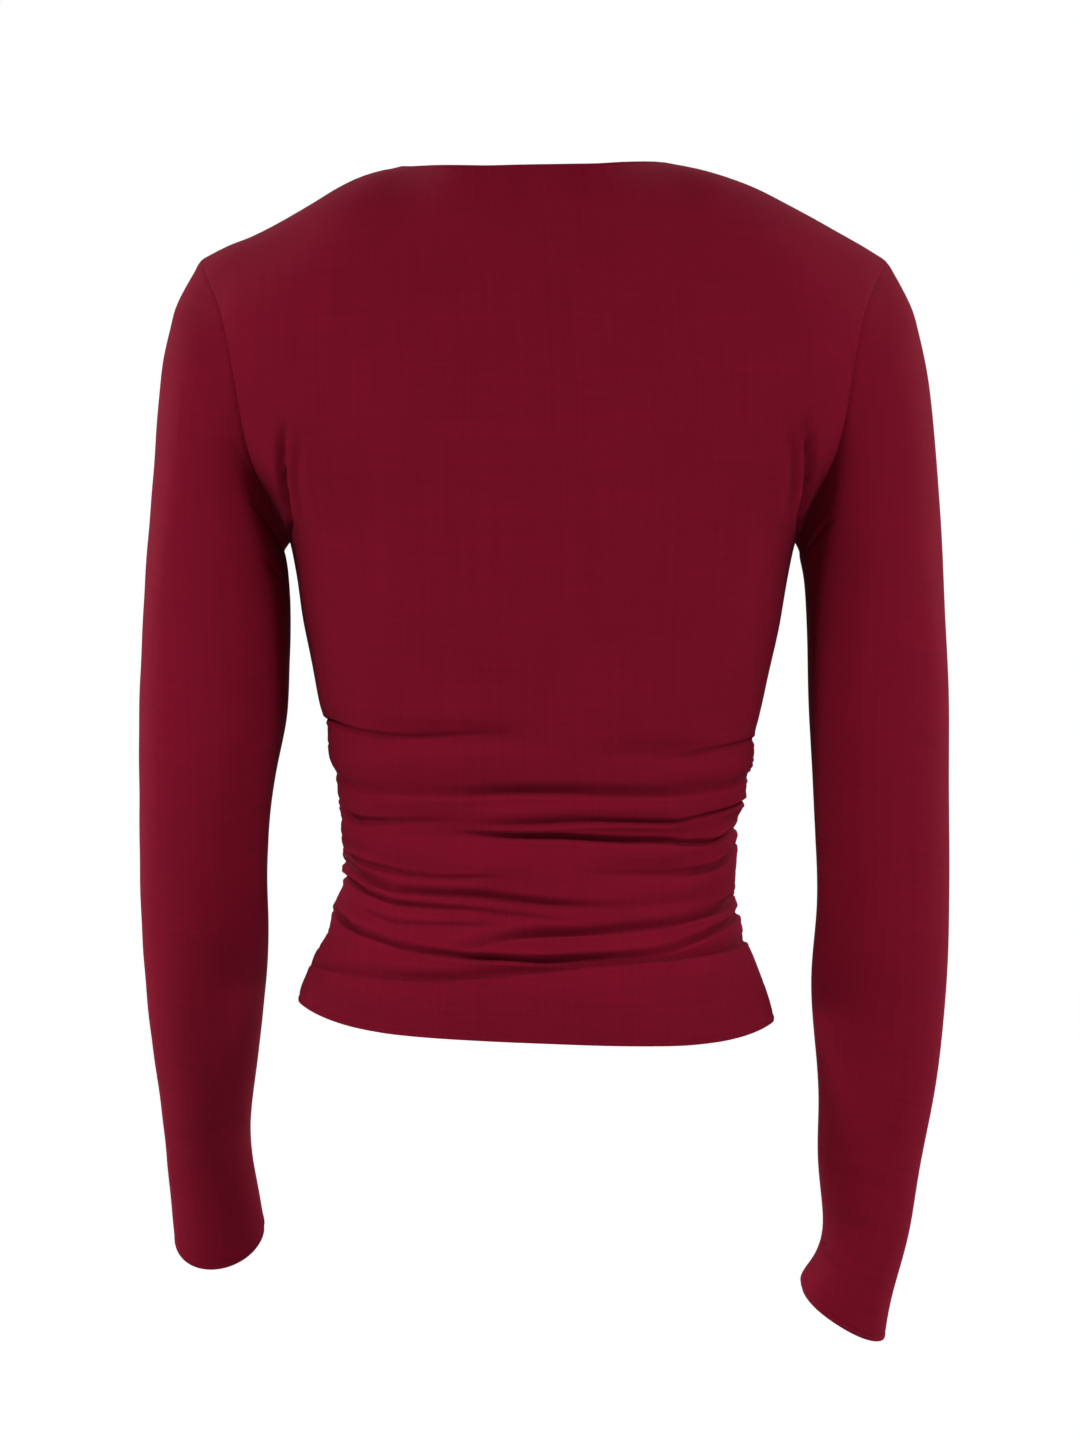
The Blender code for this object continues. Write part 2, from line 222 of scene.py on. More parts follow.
def open_edges(mesh):
    """True for each edge that has a face on one side only."""
    return np.bincount(values_of(mesh.loops, "edge_index", kind=int), minlength=len(mesh.edges)) == 1


def mark(mesh, vertices=False, edges=False):
    """Select exactly these vertices or edges, given as a list of true and false."""
    for things, flags in ((mesh.vertices, vertices), (mesh.edges, edges), (mesh.polygons, False)):
        things.foreach_set("select", np.broadcast_to(flags, len(things)).astype(bool))


def outer_face(node_name, outermost):
    """A copy of a node's wall, reduced to its outer face; outermost is a direction it faces."""
    node = frame["nodes"][node_name]
    copy = bpy.data.objects.new(node_name + "_outer", node.data.copy())
    scene.collection.objects.link(copy)
    select_only(copy)
    bpy.ops.object.mode_set(mode="EDIT")
    bpy.ops.mesh.select_mode(type="EDGE")
    bpy.ops.mesh.select_all(action="SELECT")
    bpy.ops.mesh.remove_doubles(threshold=SAME)
    bpy.ops.mesh.select_all(action="DESELECT")
    bpy.ops.object.mode_set(mode="OBJECT")
    places, edges = points_of(copy.data), edges_of(copy.data)
    lengths = np.linalg.norm(places[edges[:, 0]] - places[edges[:, 1]], axis=1)
    mark(copy.data, edges=np.abs(lengths - WALL) < WALL_MATCH)
    bpy.ops.object.mode_set(mode="EDIT")
    bpy.ops.mesh.delete(type="EDGE")
    bpy.ops.mesh.select_mode(type="VERT")
    bpy.ops.mesh.select_all(action="SELECT")
    bpy.ops.mesh.delete_loose()
    bpy.ops.mesh.select_all(action="DESELECT")
    bpy.ops.object.mode_set(mode="OBJECT")
    reach = points_of(copy.data) @ np.array(outermost)
    mark(copy.data, vertices=reach == reach.max())
    bpy.ops.object.mode_set(mode="EDIT")
    bpy.ops.mesh.select_linked()
    bpy.ops.mesh.select_all(action="INVERT")
    bpy.ops.mesh.delete(type="VERT")
    bpy.ops.object.mode_set(mode="OBJECT")
    return copy


def neighbours(mesh, edges):
    """The corners that each corner is joined to by these edges."""
    near = [set() for _ in mesh.vertices]
    for first, second in edges.tolist():
        near[first].add(second)
        near[second].add(first)
    return near


def steps_from(starts, near):
    """How many edges each corner lies from the nearest start."""
    steps = {start: 0 for start in starts}
    edge_of_known = list(starts)
    while edge_of_known:
        following = []
        for corner in edge_of_known:
            for other in near[corner]:
                if other not in steps:
                    steps[other] = steps[corner] + 1
                    following.append(other)
        edge_of_known = following
    return steps


def rims_of(mesh):
    """The open edges of a surface as closed rings of corners."""
    near = neighbours(mesh, edges_of(mesh)[open_edges(mesh)])
    left = {corner for corner, others in enumerate(near) if others}
    rims = []
    while left:
        ring = [min(left)]
        left.discard(ring[0])
        while near[ring[-1]] & left:
            ring.append(min(near[ring[-1]] & left))
            left.discard(ring[-1])
        rims.append(ring)
    return rims


# %% Lay out a panel's corners by column and row
Layout = namedtuple("Layout", "grid columns rows")


def walk(ring, start, away_from):
    """A ring of corners from start round to it again, leaving away_from behind."""
    at = ring.index(start)
    onward = ring[at:] + ring[:at]
    return onward if onward[1] not in away_from else [onward[0]] + onward[:0:-1]


def panel_corners(node_name, panel):
    """Place of each corner of the back's or front's outer face, by column and row."""
    skin = outer_face(node_name, (0, panel, 0))
    places, near = points_of(skin.data), neighbours(skin.data, edges_of(skin.data))
    ring = rims_of(skin.data)[0]
    low = [corner for corner in ring if places[corner][2] < HEM_TOP]
    hem = {corner for corner in low if abs(places[corner][1]) > ON_SEAM}
    ends = []
    for side in (LEFT, RIGHT):
        seam = [c for c in low if c not in hem and places[c][0] * side > 0]
        ends.append(min(seam, key=lambda corner: places[corner][2]))
    hem.update(ends)
    rows = steps_from(hem, near)
    row_count = max(rows.values())
    sides = [walk(ring, end, hem)[:row_count + 1] for end in ends]
    from_left, from_right = (steps_from(side, near) for side in sides)
    columns = len(hem) - 1
    half = columns // 2
    grid = {}
    for corner, place in enumerate(places):
        column = from_left[corner]
        if column > half:
            column = columns - from_right[corner]
        grid[column, rows[corner]] = place
    bpy.data.objects.remove(skin)
    print(node_name, "has", columns, "columns and", row_count, "rows")
    return Layout(grid, columns, row_count)


back_layout = panel_corners("back_panel", BACK)
front_layout = panel_corners("front_panel", FRONT)


# %% Lay out a sleeve's corners by column and row
def ring_order(ring, near):
    """A closed row of corners, in order round the sleeve."""
    members = set(ring)
    order = [min(members)]
    while len(order) < len(members):
        onward = [c for c in near[order[-1]] if c in members and c not in order]
        order.append(onward[0])
    return order


def line_up(above, below):
    """Turn the lower ring of places until it lies straight under the upper one."""
    best = None
    for ring in (below, below[::-1]):
        for turn in range(len(ring)):
            turned = np.roll(ring, turn, axis=0)
            length = np.linalg.norm(turned - above, axis=1).sum()
            if best is None or length < best[0]:
                best = (length, turned)
    return best[1]


def sleeve_corners(node_name, side):
    """Place of each corner of a sleeve's outer face; column 0 runs down its seam."""
    skin = outer_face(node_name, (side, 0, 0))
    places, near = points_of(skin.data), neighbours(skin.data, edges_of(skin.data))
    cuff = min(rims_of(skin.data), key=lambda ring: np.mean(places[ring, 2]))
    rows = steps_from(cuff, near)
    row_count = max(rows.values())
    top = ring_order([c for c in rows if rows[c] == row_count], near)
    underarm = int(np.argmin(places[top, 2]))
    ring = places[top[underarm:] + top[:underarm]]
    heading = np.cross(ring[0] - ring.mean(axis=0), ring[1] - ring.mean(axis=0))
    if heading[0] * side > 0:
        ring = np.roll(ring[::-1], 1, axis=0)
    grid = {}
    columns = len(ring)
    for row in range(row_count, -1, -1):
        if row < row_count:
            below = places[ring_order([c for c in rows if rows[c] == row], near)]
            ring = line_up(ring, below)
        for column in range(columns + 1):
            grid[column, row] = ring[column % columns]
    bpy.data.objects.remove(skin)
    print(node_name, "has", columns, "columns and", row_count, "rows")
    return Layout(grid, columns, row_count)


left_layout = sleeve_corners("left_sleeve", LEFT)
right_layout = sleeve_corners("right_sleeve", RIGHT)


# %% Leave out the narrow strips along the seams
def without_strips(layout, at_sides):
    """Corners without the strip below the top row and, on a panel, those beside its side edges."""
    columns, rows = layout.columns, layout.rows
    kept_columns = [0, *range(2, columns - 1), columns] if at_sides else [*range(columns + 1)]
    kept_rows = [*range(rows - 1), rows]
    kept = {
        (column, row): layout.grid[old_column, old_row]
        for column, old_column in enumerate(kept_columns)
        for row, old_row in enumerate(kept_rows)
        if (old_column, old_row) in layout.grid
    }
    return Layout(kept, len(kept_columns) - 1, len(kept_rows) - 1)


back_layout, front_layout = (without_strips(each, True) for each in (back_layout, front_layout))
left_layout, right_layout = (without_strips(each, False) for each in (left_layout, right_layout))
for layout in (back_layout, front_layout, left_layout, right_layout):
    print("kept", layout.columns, "columns,", layout.rows, "rows,", len(layout.grid), "corners")

# %% [markdown]
# ## New cloth on the same corners
# Each piece of cloth starts as a flat grid, as it does on the cutting table, with as many rows and
# columns as the CAD's wall. Its flat size is kept as a UV map in metres, so that the knit later runs
# straight up the body and down the arms. Then every corner is carried to its place. A subdivision
# surface would cut the corners of the form, so the cage is first eased out until the smooth surface
# passes through the CAD's own corners.

# %% Helpers that lay and smooth a grid of cloth
UV_NAME = "cloth"
FIT_ROUNDS = 14


def corner_array(layout):
    """Corners as an array by column and row; the open neck is bridged by straight lines."""
    places = np.full((layout.columns + 1, layout.rows + 1, 3), np.nan)
    for (column, row), place in layout.grid.items():
        places[column, row] = place
    across = np.arange(layout.columns + 1)
    for row in range(layout.rows + 1):
        known = ~np.isnan(places[:, row, 0])
        for axis in range(3):
            places[:, row, axis] = np.interp(across, across[known], places[known, row, axis])
    return places


def flat_pattern(places, middle):
    """Flat coordinates of each corner: across from the middle column, and up from the lowest row."""
    steps_across = np.linalg.norm(np.diff(places, axis=0), axis=2)
    steps_up = np.linalg.norm(np.diff(places, axis=1), axis=2)
    across = np.zeros(places.shape[:2])
    across[1:] = np.cumsum(steps_across, axis=0)
    across -= across[middle]
    up = np.zeros(places.shape[:2])
    up[:, 1:] = np.cumsum(steps_up, axis=1)
    return across, up


def add_number(mesh, name, values):
    """Give every corner of a mesh a named number that later steps can read."""
    layer = mesh.attributes.new(name, "FLOAT", "POINT")
    layer.data.foreach_set("value", np.asarray(values, np.float32))


def numbers_of(mesh, name):
    return values_of(mesh.attributes[name].data, "value")


def lay_cloth(name, layout, outward):
    """A grid of cloth carried to the corners of a wall; outward is a direction it faces."""
    columns, rows = layout.columns, layout.rows
    places = corner_array(layout)
    across, up = flat_pattern(places, columns // 2)
    bpy.ops.object.select_all(action="DESELECT")
    bpy.ops.mesh.primitive_grid_add(x_subdivisions=columns, y_subdivisions=rows, size=1)
    piece = bpy.context.object
    piece.name = piece.data.name = name
    mesh = piece.data
    flat = points_of(mesh)
    column = np.rint((flat[:, 0] + 0.5) * columns).astype(int)
    row = np.rint((flat[:, 1] + 0.5) * rows).astype(int)
    mesh.uv_layers[0].name = UV_NAME
    for loop in mesh.loops:
        corner = column[loop.vertex_index], row[loop.vertex_index]
        mesh.uv_layers[0].data[loop.index].uv = across[corner], up[corner]
    set_points(mesh, places[column, row])
    add_number(mesh, "column", column)
    add_number(mesh, "row", row)
    add_number(mesh, "rim", (column == 0) | (column == columns))
    missing = [corner not in layout.grid for corner in zip(column, row)]
    mark(mesh, vertices=missing)
    bpy.ops.object.mode_set(mode="EDIT")
    bpy.ops.mesh.select_mode(type="VERT")
    if any(missing):
        bpy.ops.mesh.delete(type="VERT")
    bpy.ops.mesh.select_all(action="SELECT")
    bpy.ops.mesh.remove_doubles(threshold=SAME)
    bpy.ops.object.mode_set(mode="OBJECT")
    furthest = max(mesh.polygons, key=lambda face: Vector(outward).dot(face.center))
    if furthest.normal.dot(Vector(outward)) < 0:
        mesh.flip_normals()
    return piece


def smooth_through(piece, levels, sharp_corners=()):
    """Subdivide a piece so that its smooth surface still passes through the cage's corners."""
    mesh = piece.data
    aim = points_of(mesh)
    if sharp_corners:
        crease = mesh.attributes.new("crease_vert", "FLOAT", "POINT")
        for corner in sharp_corners:
            crease.data[corner].value = 1.0
    smooth = piece.modifiers.new("smooth", "SUBSURF")
    smooth.levels = smooth.render_levels = levels
    smooth.boundary_smooth = "PRESERVE_CORNERS"
    for _ in range(FIT_ROUNDS):
        shown = piece.evaluated_get(bpy.context.evaluated_depsgraph_get())
        reached = points_of(shown.data)[:len(aim)]
        set_points(mesh, points_of(mesh) + aim - reached)
    shown = piece.evaluated_get(bpy.context.evaluated_depsgraph_get())
    off = np.linalg.norm(points_of(shown.data)[:len(aim)] - aim, axis=1)
    select_only(piece)
    bpy.ops.object.modifier_apply(modifier=smooth.name)
    piece.data.shade_smooth()
    print(piece.name, "faces:", len(piece.data.polygons), "off the corners by at most",
          round(off.max() / MM, 3), "mm")


# %% Lay the four pieces
PANEL_LEVELS, SLEEVE_LEVELS = 2, 3
NECK_COLUMNS = 3                          # the neck's side lies this many columns from the middle
MIDDLE = back_layout.columns // 2
UNDERARM = -0.209                         # height of the top of the side seams


def corners_at(piece, from_middle, row):
    """The two corners of a panel that lie some columns from its middle on a row."""
    columns, rows = numbers_of(piece.data, "column"), numbers_of(piece.data, "row")
    return np.flatnonzero((np.abs(columns - MIDDLE) == from_middle) & (rows == row)).tolist()


back = lay_cloth("back", back_layout, (0, BACK, 0))
front = lay_cloth("front", front_layout, (0, FRONT, 0))
left_arm = lay_cloth("left_arm", left_layout, (LEFT, 0, 0))
right_arm = lay_cloth("right_arm", right_layout, (RIGHT, 0, 0))
PIECES = (back, front, left_arm, right_arm)
back_places, front_places = corner_array(back_layout), corner_array(front_layout)
neck_row = max(row for column, row in front_layout.grid if column == MIDDLE)
underarm_row = int(np.argmin(np.abs(back_places[0, :, 2] - UNDERARM)))
for panel, row in ((back, back_layout.rows), (front, neck_row)):
    neck_corners = corners_at(panel, NECK_COLUMNS, row)
    smooth_through(panel, PANEL_LEVELS, neck_corners + corners_at(panel, MIDDLE, underarm_row))
for sleeve in (left_arm, right_arm):
    smooth_through(sleeve, SLEEVE_LEVELS)
print("the neckline lies on row", neck_row, "of", front_layout.rows)

# %% [markdown]
# ## More rows where the cloth folds
# The creases round the waist are only 2 to 8 mm wide, and the cloth so far has a point every 2 to
# 4 mm. Whole rows and columns are cut in where creases, seams and finished edges need them. Cutting a
# row all the way across keeps every face four-sided, so the shading stays clean.

# %% Cut finer rows and columns
GATHER_TOP = -0.300                       # the side seams are pulled up below this height
ON_LINE = 0.01                            # two points closer than this in row number share a row


def cut_between(piece, line, low, high, cuts):
    """Cut finer rows, or columns, between two values of the number that counts them."""
    mesh = piece.data
    first, second = numbers_of(mesh, line)[edges_of(mesh)].T
    middle = (first + second) / 2
    crosses = np.abs(first - second) > ON_LINE
    mark(mesh, edges=crosses & (middle > low) & (middle < high))
    select_only(piece)
    bpy.context.tool_settings.mesh_select_mode = (False, True, False)
    bpy.ops.object.mode_set(mode="EDIT")
    bpy.ops.mesh.subdivide(number_cuts=cuts, smoothness=1)
    bpy.ops.object.mode_set(mode="OBJECT")


gather_row = int(np.argmin(np.abs(back_places[0, :, 2] - GATHER_TOP)))
fine = 1 / 2 ** PANEL_LEVELS              # one fine row or column, in steps of the coarse grid
for panel, layout, gather_cuts in ((back, back_layout, 3), (front, front_layout, 2)):
    last, top = layout.columns, layout.rows
    cut_between(panel, "row", 0, gather_row + 1, gather_cuts)
    cut_between(panel, "row", top - fine, top, 4)
    cut_between(panel, "row", top - 2 * fine, top - fine, 2)
    cut_between(panel, "column", 0, fine, 3)
    cut_between(panel, "column", fine, 3 * fine, 1)
    cut_between(panel, "column", last - fine, last, 3)
    cut_between(panel, "column", last - 3 * fine, last - fine, 1)
cut_between(front, "row", neck_row - 2 * fine, neck_row, 4)
for side in (LEFT, RIGHT):
    beside_neck = MIDDLE + side * (NECK_COLUMNS + fine)
    cut_between(front, "column", beside_neck - fine, beside_neck + fine, 4)
fine = 1 / 2 ** SLEEVE_LEVELS
for sleeve, top in ((left_arm, left_layout.rows), (right_arm, right_layout.rows)):
    cut_between(sleeve, "rim", 1 - fine, 1, 3)
    cut_between(sleeve, "row", 0, 3 * fine, 4)
    cut_between(sleeve, "row", top - 2 * fine, top, 3)
for piece in PIECES:
    sides = {len(face.vertices) for face in piece.data.polygons}
    print(piece.name, "faces:", len(piece.data.polygons), "corners per face:", sides)

# %% [markdown]
# ## Drawing a fold
# A fold is written down as it would be chalked on the garment: a few points from end to end, each
# with its height, its place across, and how deep the cloth goes in there. A smooth curve runs
# through the points. Across the curve the cloth falls in gently on one side and comes back sharply
# on the other, as a tuck does when it droops over the next one. Distances are measured on the flat
# pattern, so a fold keeps its width where the body turns away.

# %% Helpers that draw folds on a piece
Chart = namedtuple("Chart", "place height across up")
Fold = namedtuple("Fold", "above below points")
CREST = 0.9                               # how far the cloth swells beside a fold, against its depth
CURVE_STEPS = 24
FOLD_REACH = 3.0                          # a fold is felt this many widths away


def panel_chart(places):
    """Where each corner of a panel shows: its x, its height and its flat coordinates."""
    across, up = flat_pattern(places, MIDDLE)
    return Chart(places[:, :, 0], places[:, :, 2], across, up)


def sleeve_chart(layout, side):
    """The same for a sleeve, placed by the turn from its seam, by way of the back, in degrees."""
    places = corner_array(layout)
    across, up = flat_pattern(places, layout.columns // 2)
    first, last = (0, 360) if side == RIGHT else (360, 0)
    turn = np.linspace(first, last, layout.columns + 1)
    return Chart(np.repeat(turn[:, None], layout.rows + 1, axis=1), places[:, :, 2], across, up)


def to_flat(chart, place, height):
    """Flat coordinates of the point of cloth that shows at a place and a height."""
    seen, across, up = (
        np.array([np.interp(height, heights, line) for heights, line in zip(chart.height, lines)])
        for lines in (chart.place, chart.across, chart.up)
    )
    order = np.argsort(seen)
    return np.interp(place, seen[order], across[order]), np.interp(place, seen[order], up[order])


def smooth_line(points):
    """A smooth curve through a list of points, as many short steps."""
    points = np.array(points, float)
    ends = 2 * points[0] - points[1], 2 * points[-1] - points[-2]
    padded = np.vstack([ends[0], points, ends[1]])
    share = np.linspace(0, 1, CURVE_STEPS, endpoint=False)[:, None]
    spans = []
    for before, start, end, after in zip(padded, padded[1:], padded[2:], padded[3:]):
        bend = 2 * before - 5 * start + 4 * end - after
        twist = 3 * (start - end) + after - before
        spans.append(start + share * (end - before + share * (bend + share * twist)) / 2)
    return np.vstack([*spans, points[-1:]])


def flat_of(piece):
    """Flat coordinates of every point of a piece, read from its UV map."""
    mesh = piece.data
    flat = np.zeros((len(mesh.vertices), 2))
    corners = values_of(mesh.loops, "vertex_index", kind=int)
    flat[corners] = values_of(mesh.uv_layers[UV_NAME].data, "uv", 2)
    return flat


def sink(flat, line, above, below):
    """How far one fold pushes each point of the cloth in; line holds across, up and depth."""
    pushed = np.zeros(len(flat))
    reach = FOLD_REACH * max(above, below)
    low, high = line[:, :2].min(axis=0) - reach, line[:, :2].max(axis=0) + reach
    near = np.flatnonzero(np.all((flat > low) & (flat < high), axis=1))
    if not len(near):
        return pushed
    heading = np.gradient(line[:, :2], axis=0)
    heading /= np.linalg.norm(heading, axis=1)[:, None]
    heading *= np.where(heading[:, :1] < 0, -1, 1)
    apart = flat[near][:, None] - line[None, :, :2]
    gap = np.linalg.norm(apart, axis=2)
    closest = gap.argmin(axis=1)
    offset = apart[np.arange(len(near)), closest]
    rise = heading[closest, 0] * offset[:, 1] - heading[closest, 1] * offset[:, 0]
    at_end = (closest == 0) | (closest == len(line) - 1)
    rise = np.where(at_end, np.sign(rise) * gap.min(axis=1), rise)
    widths_away = rise / np.where(rise > 0, above, below)
    shape = (1 - CREST * widths_away ** 2) * np.exp(-widths_away ** 2)
    pushed[near] = line[closest, 2] * shape
    return pushed


def fold_lines(chart, folds):
    """Folds, given in mm as they show, as curves on the flat pattern in metres."""
    lines = []
    for fold in folds:
        points = []
        for place, height, depth in fold.points:
            across, up = to_flat(chart, place, height * MM)
            points.append((across, up, depth * MM))
        lines.append((smooth_line(points), fold.above * MM, fold.below * MM))
    return lines


def sink_all(flat, lines):
    return sum((sink(flat, *line) for line in lines), np.zeros(len(flat)))


# %% [markdown]
# ## The creases of the back
# The side seams are gathered from just above the waist down to the hem's flare. Most creases start at
# a seam, deep and narrow, and run in and a little down until they fade. Four of them cross the whole
# back. Where two meet, a long lens of cloth stands up between them.

# %% Draw the creases of the back
SEAM = 200                                # a place beyond the cloth, so the fold starts at the seam


def panel_folds(table):
    """Folds of a panel, with the place across in metres; the other numbers stay in mm."""
    return [
        Fold(above, below, [(place * MM, height, depth) for place, height, depth in points])
        for above, below, points in table
    ]


BACK_FOLDS = panel_folds((
    (2.2, 2.0, ((SEAM, -307, 1.5), (101, -314, 1.1), (78, -317, 0.9), (55, -317, 0.6),
                (34, -316, 0.3), (18, -316, 0))),
    (2.0, 2.4, ((-SEAM, -319, 1.1), (-100, -323, 0.8), (-81, -327, 0.6), (-64, -330, 0))),
    (6.0, 1.8, ((SEAM, -338, 1.0), (100, -345, 0.8), (75, -348, 0.6), (44, -349, 0.8),
                (15, -348, 1.5), (-12, -348, 1.4), (-40, -349, 1.2), (-65, -349, 1.1),
                (-90, -346, 0.8), (-SEAM, -340, 1.2))),
    (2.4, 2.6, ((SEAM, -349, 2.6), (109, -355, 2.4), (104, -361, 1.9), (94, -363, 1.2),
                (77, -363, 0.8), (57, -363, 0.3), (45, -362, 0))),
    (7.0, 1.5, ((36, -364, 0), (20, -365, 0.8), (0, -365, 1.5), (-20, -364, 1.8),
                (-44, -364, 1.3), (-62, -364, 0.9), (-76, -363, 0))),
    (2.0, 1.8, ((-20, -362, 0), (-40, -363, 0.8), (-65, -364, 1.2), (-82, -362, 1.2),
                (-99, -358, 1.4), (-SEAM, -353, 1.6))),
    (2.0, 2.6, ((50, -369, 0), (27, -370, 1.1), (9, -370.5, 2.0), (-9, -370.5, 2.5),
                (-27, -371.5, 2.4), (-45, -372.5, 2.1), (-63, -373, 1.8), (-81, -374.5, 1.7),
                (-93, -374.5, 1.8), (-102, -371.5, 2.1), (-SEAM, -366, 2.6))),
    (2.2, 3.0, ((-SEAM, -374, 2.4), (-103, -383, 2.1), (-94, -388, 1.6), (-81, -390, 1.0),
                (-63, -391, 0.6), (-36, -391, 0.3), (-12, -390, 0))),
    (2.0, 2.6, ((SEAM, -376, 1.8), (107, -382, 1.9), (100, -385, 1.5), (88, -388, 1.2),
                (73, -391, 1.0), (55, -393, 0.8), (37, -393, 0.6), (18, -392, 0))),
    (4.0, 2.0, ((SEAM, -386, 1.8), (102, -390, 1.8), (94, -395, 1.5), (81, -399.5, 1.3),
                (66, -401.5, 1.3), (48, -402.5, 1.4), (33, -403, 1.7), (17, -405, 1.7),
                (-5, -408, 1.4), (-25, -409, 0.7), (-50, -409, 0.3), (-75, -407, 0))),
    (1.6, 2.0, ((SEAM, -394, 1.9), (97, -400, 1.7), (81, -406, 1.5), (66, -408, 1.3),
                (52, -409, 1.2), (37, -410, 1.0), (23, -412, 0.8), (5, -414, 0.6),
                (-12, -416, 0.5), (-36, -417, 0))),
    (2.0, 2.0, ((96, -411, 0), (90, -413, 0.8), (76, -417, 0.9), (59, -418, 0.8),
                (39, -418, 0.7), (24, -418, 0))),
    (4.4, 1.7, ((-SEAM, -406, 2.3), (-96, -412.5, 1.8), (-80, -416.5, 1.5), (-62, -419.5, 1.4),
                (-44, -421, 1.7), (-19, -422.5, 2.3), (-2, -423, 2.4), (12, -424, 2.0),
                (24, -426, 1.2), (38, -430, 0.8), (52, -433, 0))),
    (2.6, 2.2, ((SEAM, -405, 2.4), (111, -414, 2.4), (104, -420, 1.9), (91, -425, 1.5),
                (77, -429, 1.5), (62, -432, 1.6), (48, -434, 1.9), (34, -435.5, 2.4),
                (19, -436, 2.5), (5, -437, 2.0), (-12, -437, 1.2), (-26, -436, 0.5), (-40, -435, 0))),
    (3.0, 2.6, ((-SEAM, -414, 2.0), (-98, -421, 1.6), (-84, -427, 1.4), (-68, -431.5, 1.2),
                (-52, -434, 1.1), (-36, -435, 1.0), (-15, -436, 1.0), (0, -437, 0.7), (12, -437, 0))),
    (5.0, 1.8, ((-SEAM, -430, 1.6), (-100, -433, 1.4), (-81, -435.5, 1.3), (-61, -437, 1.4),
                (-44, -438.5, 1.6), (-27, -439.5, 1.7), (-13, -441, 1.7), (5, -442.5, 1.7),
                (20, -444, 1.5), (44, -446, 1.3), (63, -447, 1.2), (82, -446.5, 1.0),
                (100, -445, 0.7), (SEAM, -444, 0.4))),
))

# %% [markdown]
# ## The creases of the front
# The picture doesn't show the front. The same two seams gather it, so its creases begin at the same
# heights as those of the back, run in and down in the same way, and fade or meet at other places.

# %% Draw the creases of the front
FRONT_FOLDS = panel_folds((
    (2.2, 2.2, ((SEAM, -307, 1.5), (104, -315, 1.2), (84, -321, 0.9), (62, -325, 0.6), (40, -327, 0))),
    (2.2, 2.4, ((-SEAM, -319, 1.1), (-103, -325, 0.9), (-82, -328, 0.7), (-58, -328, 0.4), (-40, -327, 0))),
    (6.0, 1.8, ((SEAM, -338, 1.0), (102, -345, 0.9), (80, -350, 0.9), (50, -353, 1.1), (20, -354, 1.4),
                (-10, -354, 1.3), (-45, -352, 1.1), (-78, -348, 0.9), (-SEAM, -340, 1.2))),
    (2.2, 2.4, ((SEAM, -349, 2.6), (110, -357, 2.1), (100, -363, 1.6), (82, -367, 1.2), (60, -369, 0.8),
                (38, -369, 0))),
    (2.2, 2.2, ((-SEAM, -353, 1.6), (-104, -361, 1.5), (-86, -366, 1.3), (-60, -370, 1.1), (-32, -372, 0.8),
                (-10, -372, 0))),
    (2.0, 2.6, ((-SEAM, -366, 2.6), (-106, -373, 2.0), (-90, -378, 1.8), (-66, -381, 1.7), (-38, -383, 1.9),
                (-8, -384, 2.1), (20, -384, 1.8), (44, -382, 1.1), (62, -380, 0))),
    (2.0, 2.6, ((SEAM, -376, 1.8), (108, -383, 1.7), (94, -388, 1.4), (72, -391, 1.2), (46, -394, 0.9),
                (20, -395, 0))),
    (2.4, 2.8, ((-SEAM, -374, 2.4), (-106, -384, 1.9), (-92, -391, 1.4), (-70, -395, 0.9), (-46, -397, 0.4),
                (-28, -397, 0))),
    (3.6, 2.0, ((SEAM, -386, 1.8), (104, -394, 1.6), (86, -400, 1.4), (60, -404, 1.4), (30, -407, 1.6),
                (0, -409, 1.7), (-28, -409, 1.4), (-56, -407, 0.8), (-76, -405, 0))),
    (1.8, 2.0, ((SEAM, -394, 1.9), (98, -403, 1.5), (78, -409, 1.2), (52, -413, 0.8), (30, -415, 0))),
    (4.0, 1.8, ((-SEAM, -406, 2.3), (-102, -412, 1.8), (-84, -417, 1.5), (-58, -421, 1.5), (-26, -424, 1.9),
                (4, -425, 2.1), (30, -424, 1.4), (52, -421, 0.6), (68, -419, 0))),
    (2.6, 2.2, ((SEAM, -405, 2.4), (110, -415, 2.2), (98, -422, 1.8), (76, -429, 1.6), (46, -434, 1.8),
                (14, -437, 2.2), (-16, -437, 1.7), (-40, -435, 0.7), (-56, -434, 0))),
    (3.0, 2.4, ((-SEAM, -414, 2.0), (-100, -423, 1.6), (-80, -430, 1.3), (-54, -434, 1.0), (-30, -436, 0.6),
                (-8, -437, 0))),
    (5.0, 1.8, ((-SEAM, -430, 1.6), (-100, -435, 1.4), (-70, -440, 1.4), (-36, -443, 1.6), (0, -445, 1.7),
                (36, -447, 1.4), (70, -447, 1.1), (98, -445, 0.7), (SEAM, -444, 0.4))),
))
print("creases on the back:", len(BACK_FOLDS), "and on the front:", len(FRONT_FOLDS))

# %% [markdown]
# ## Soft folds under the arms and on the sleeves
# The sleeves are close-fitting and nearly smooth. A deep soft fold lies where each sleeve meets the
# back under the arm, and weaker ones run from the underarm up the sleeve. The inside of each elbow
# has a few shallow tucks, and the right cuff is pinched in where it turns out over the hand.

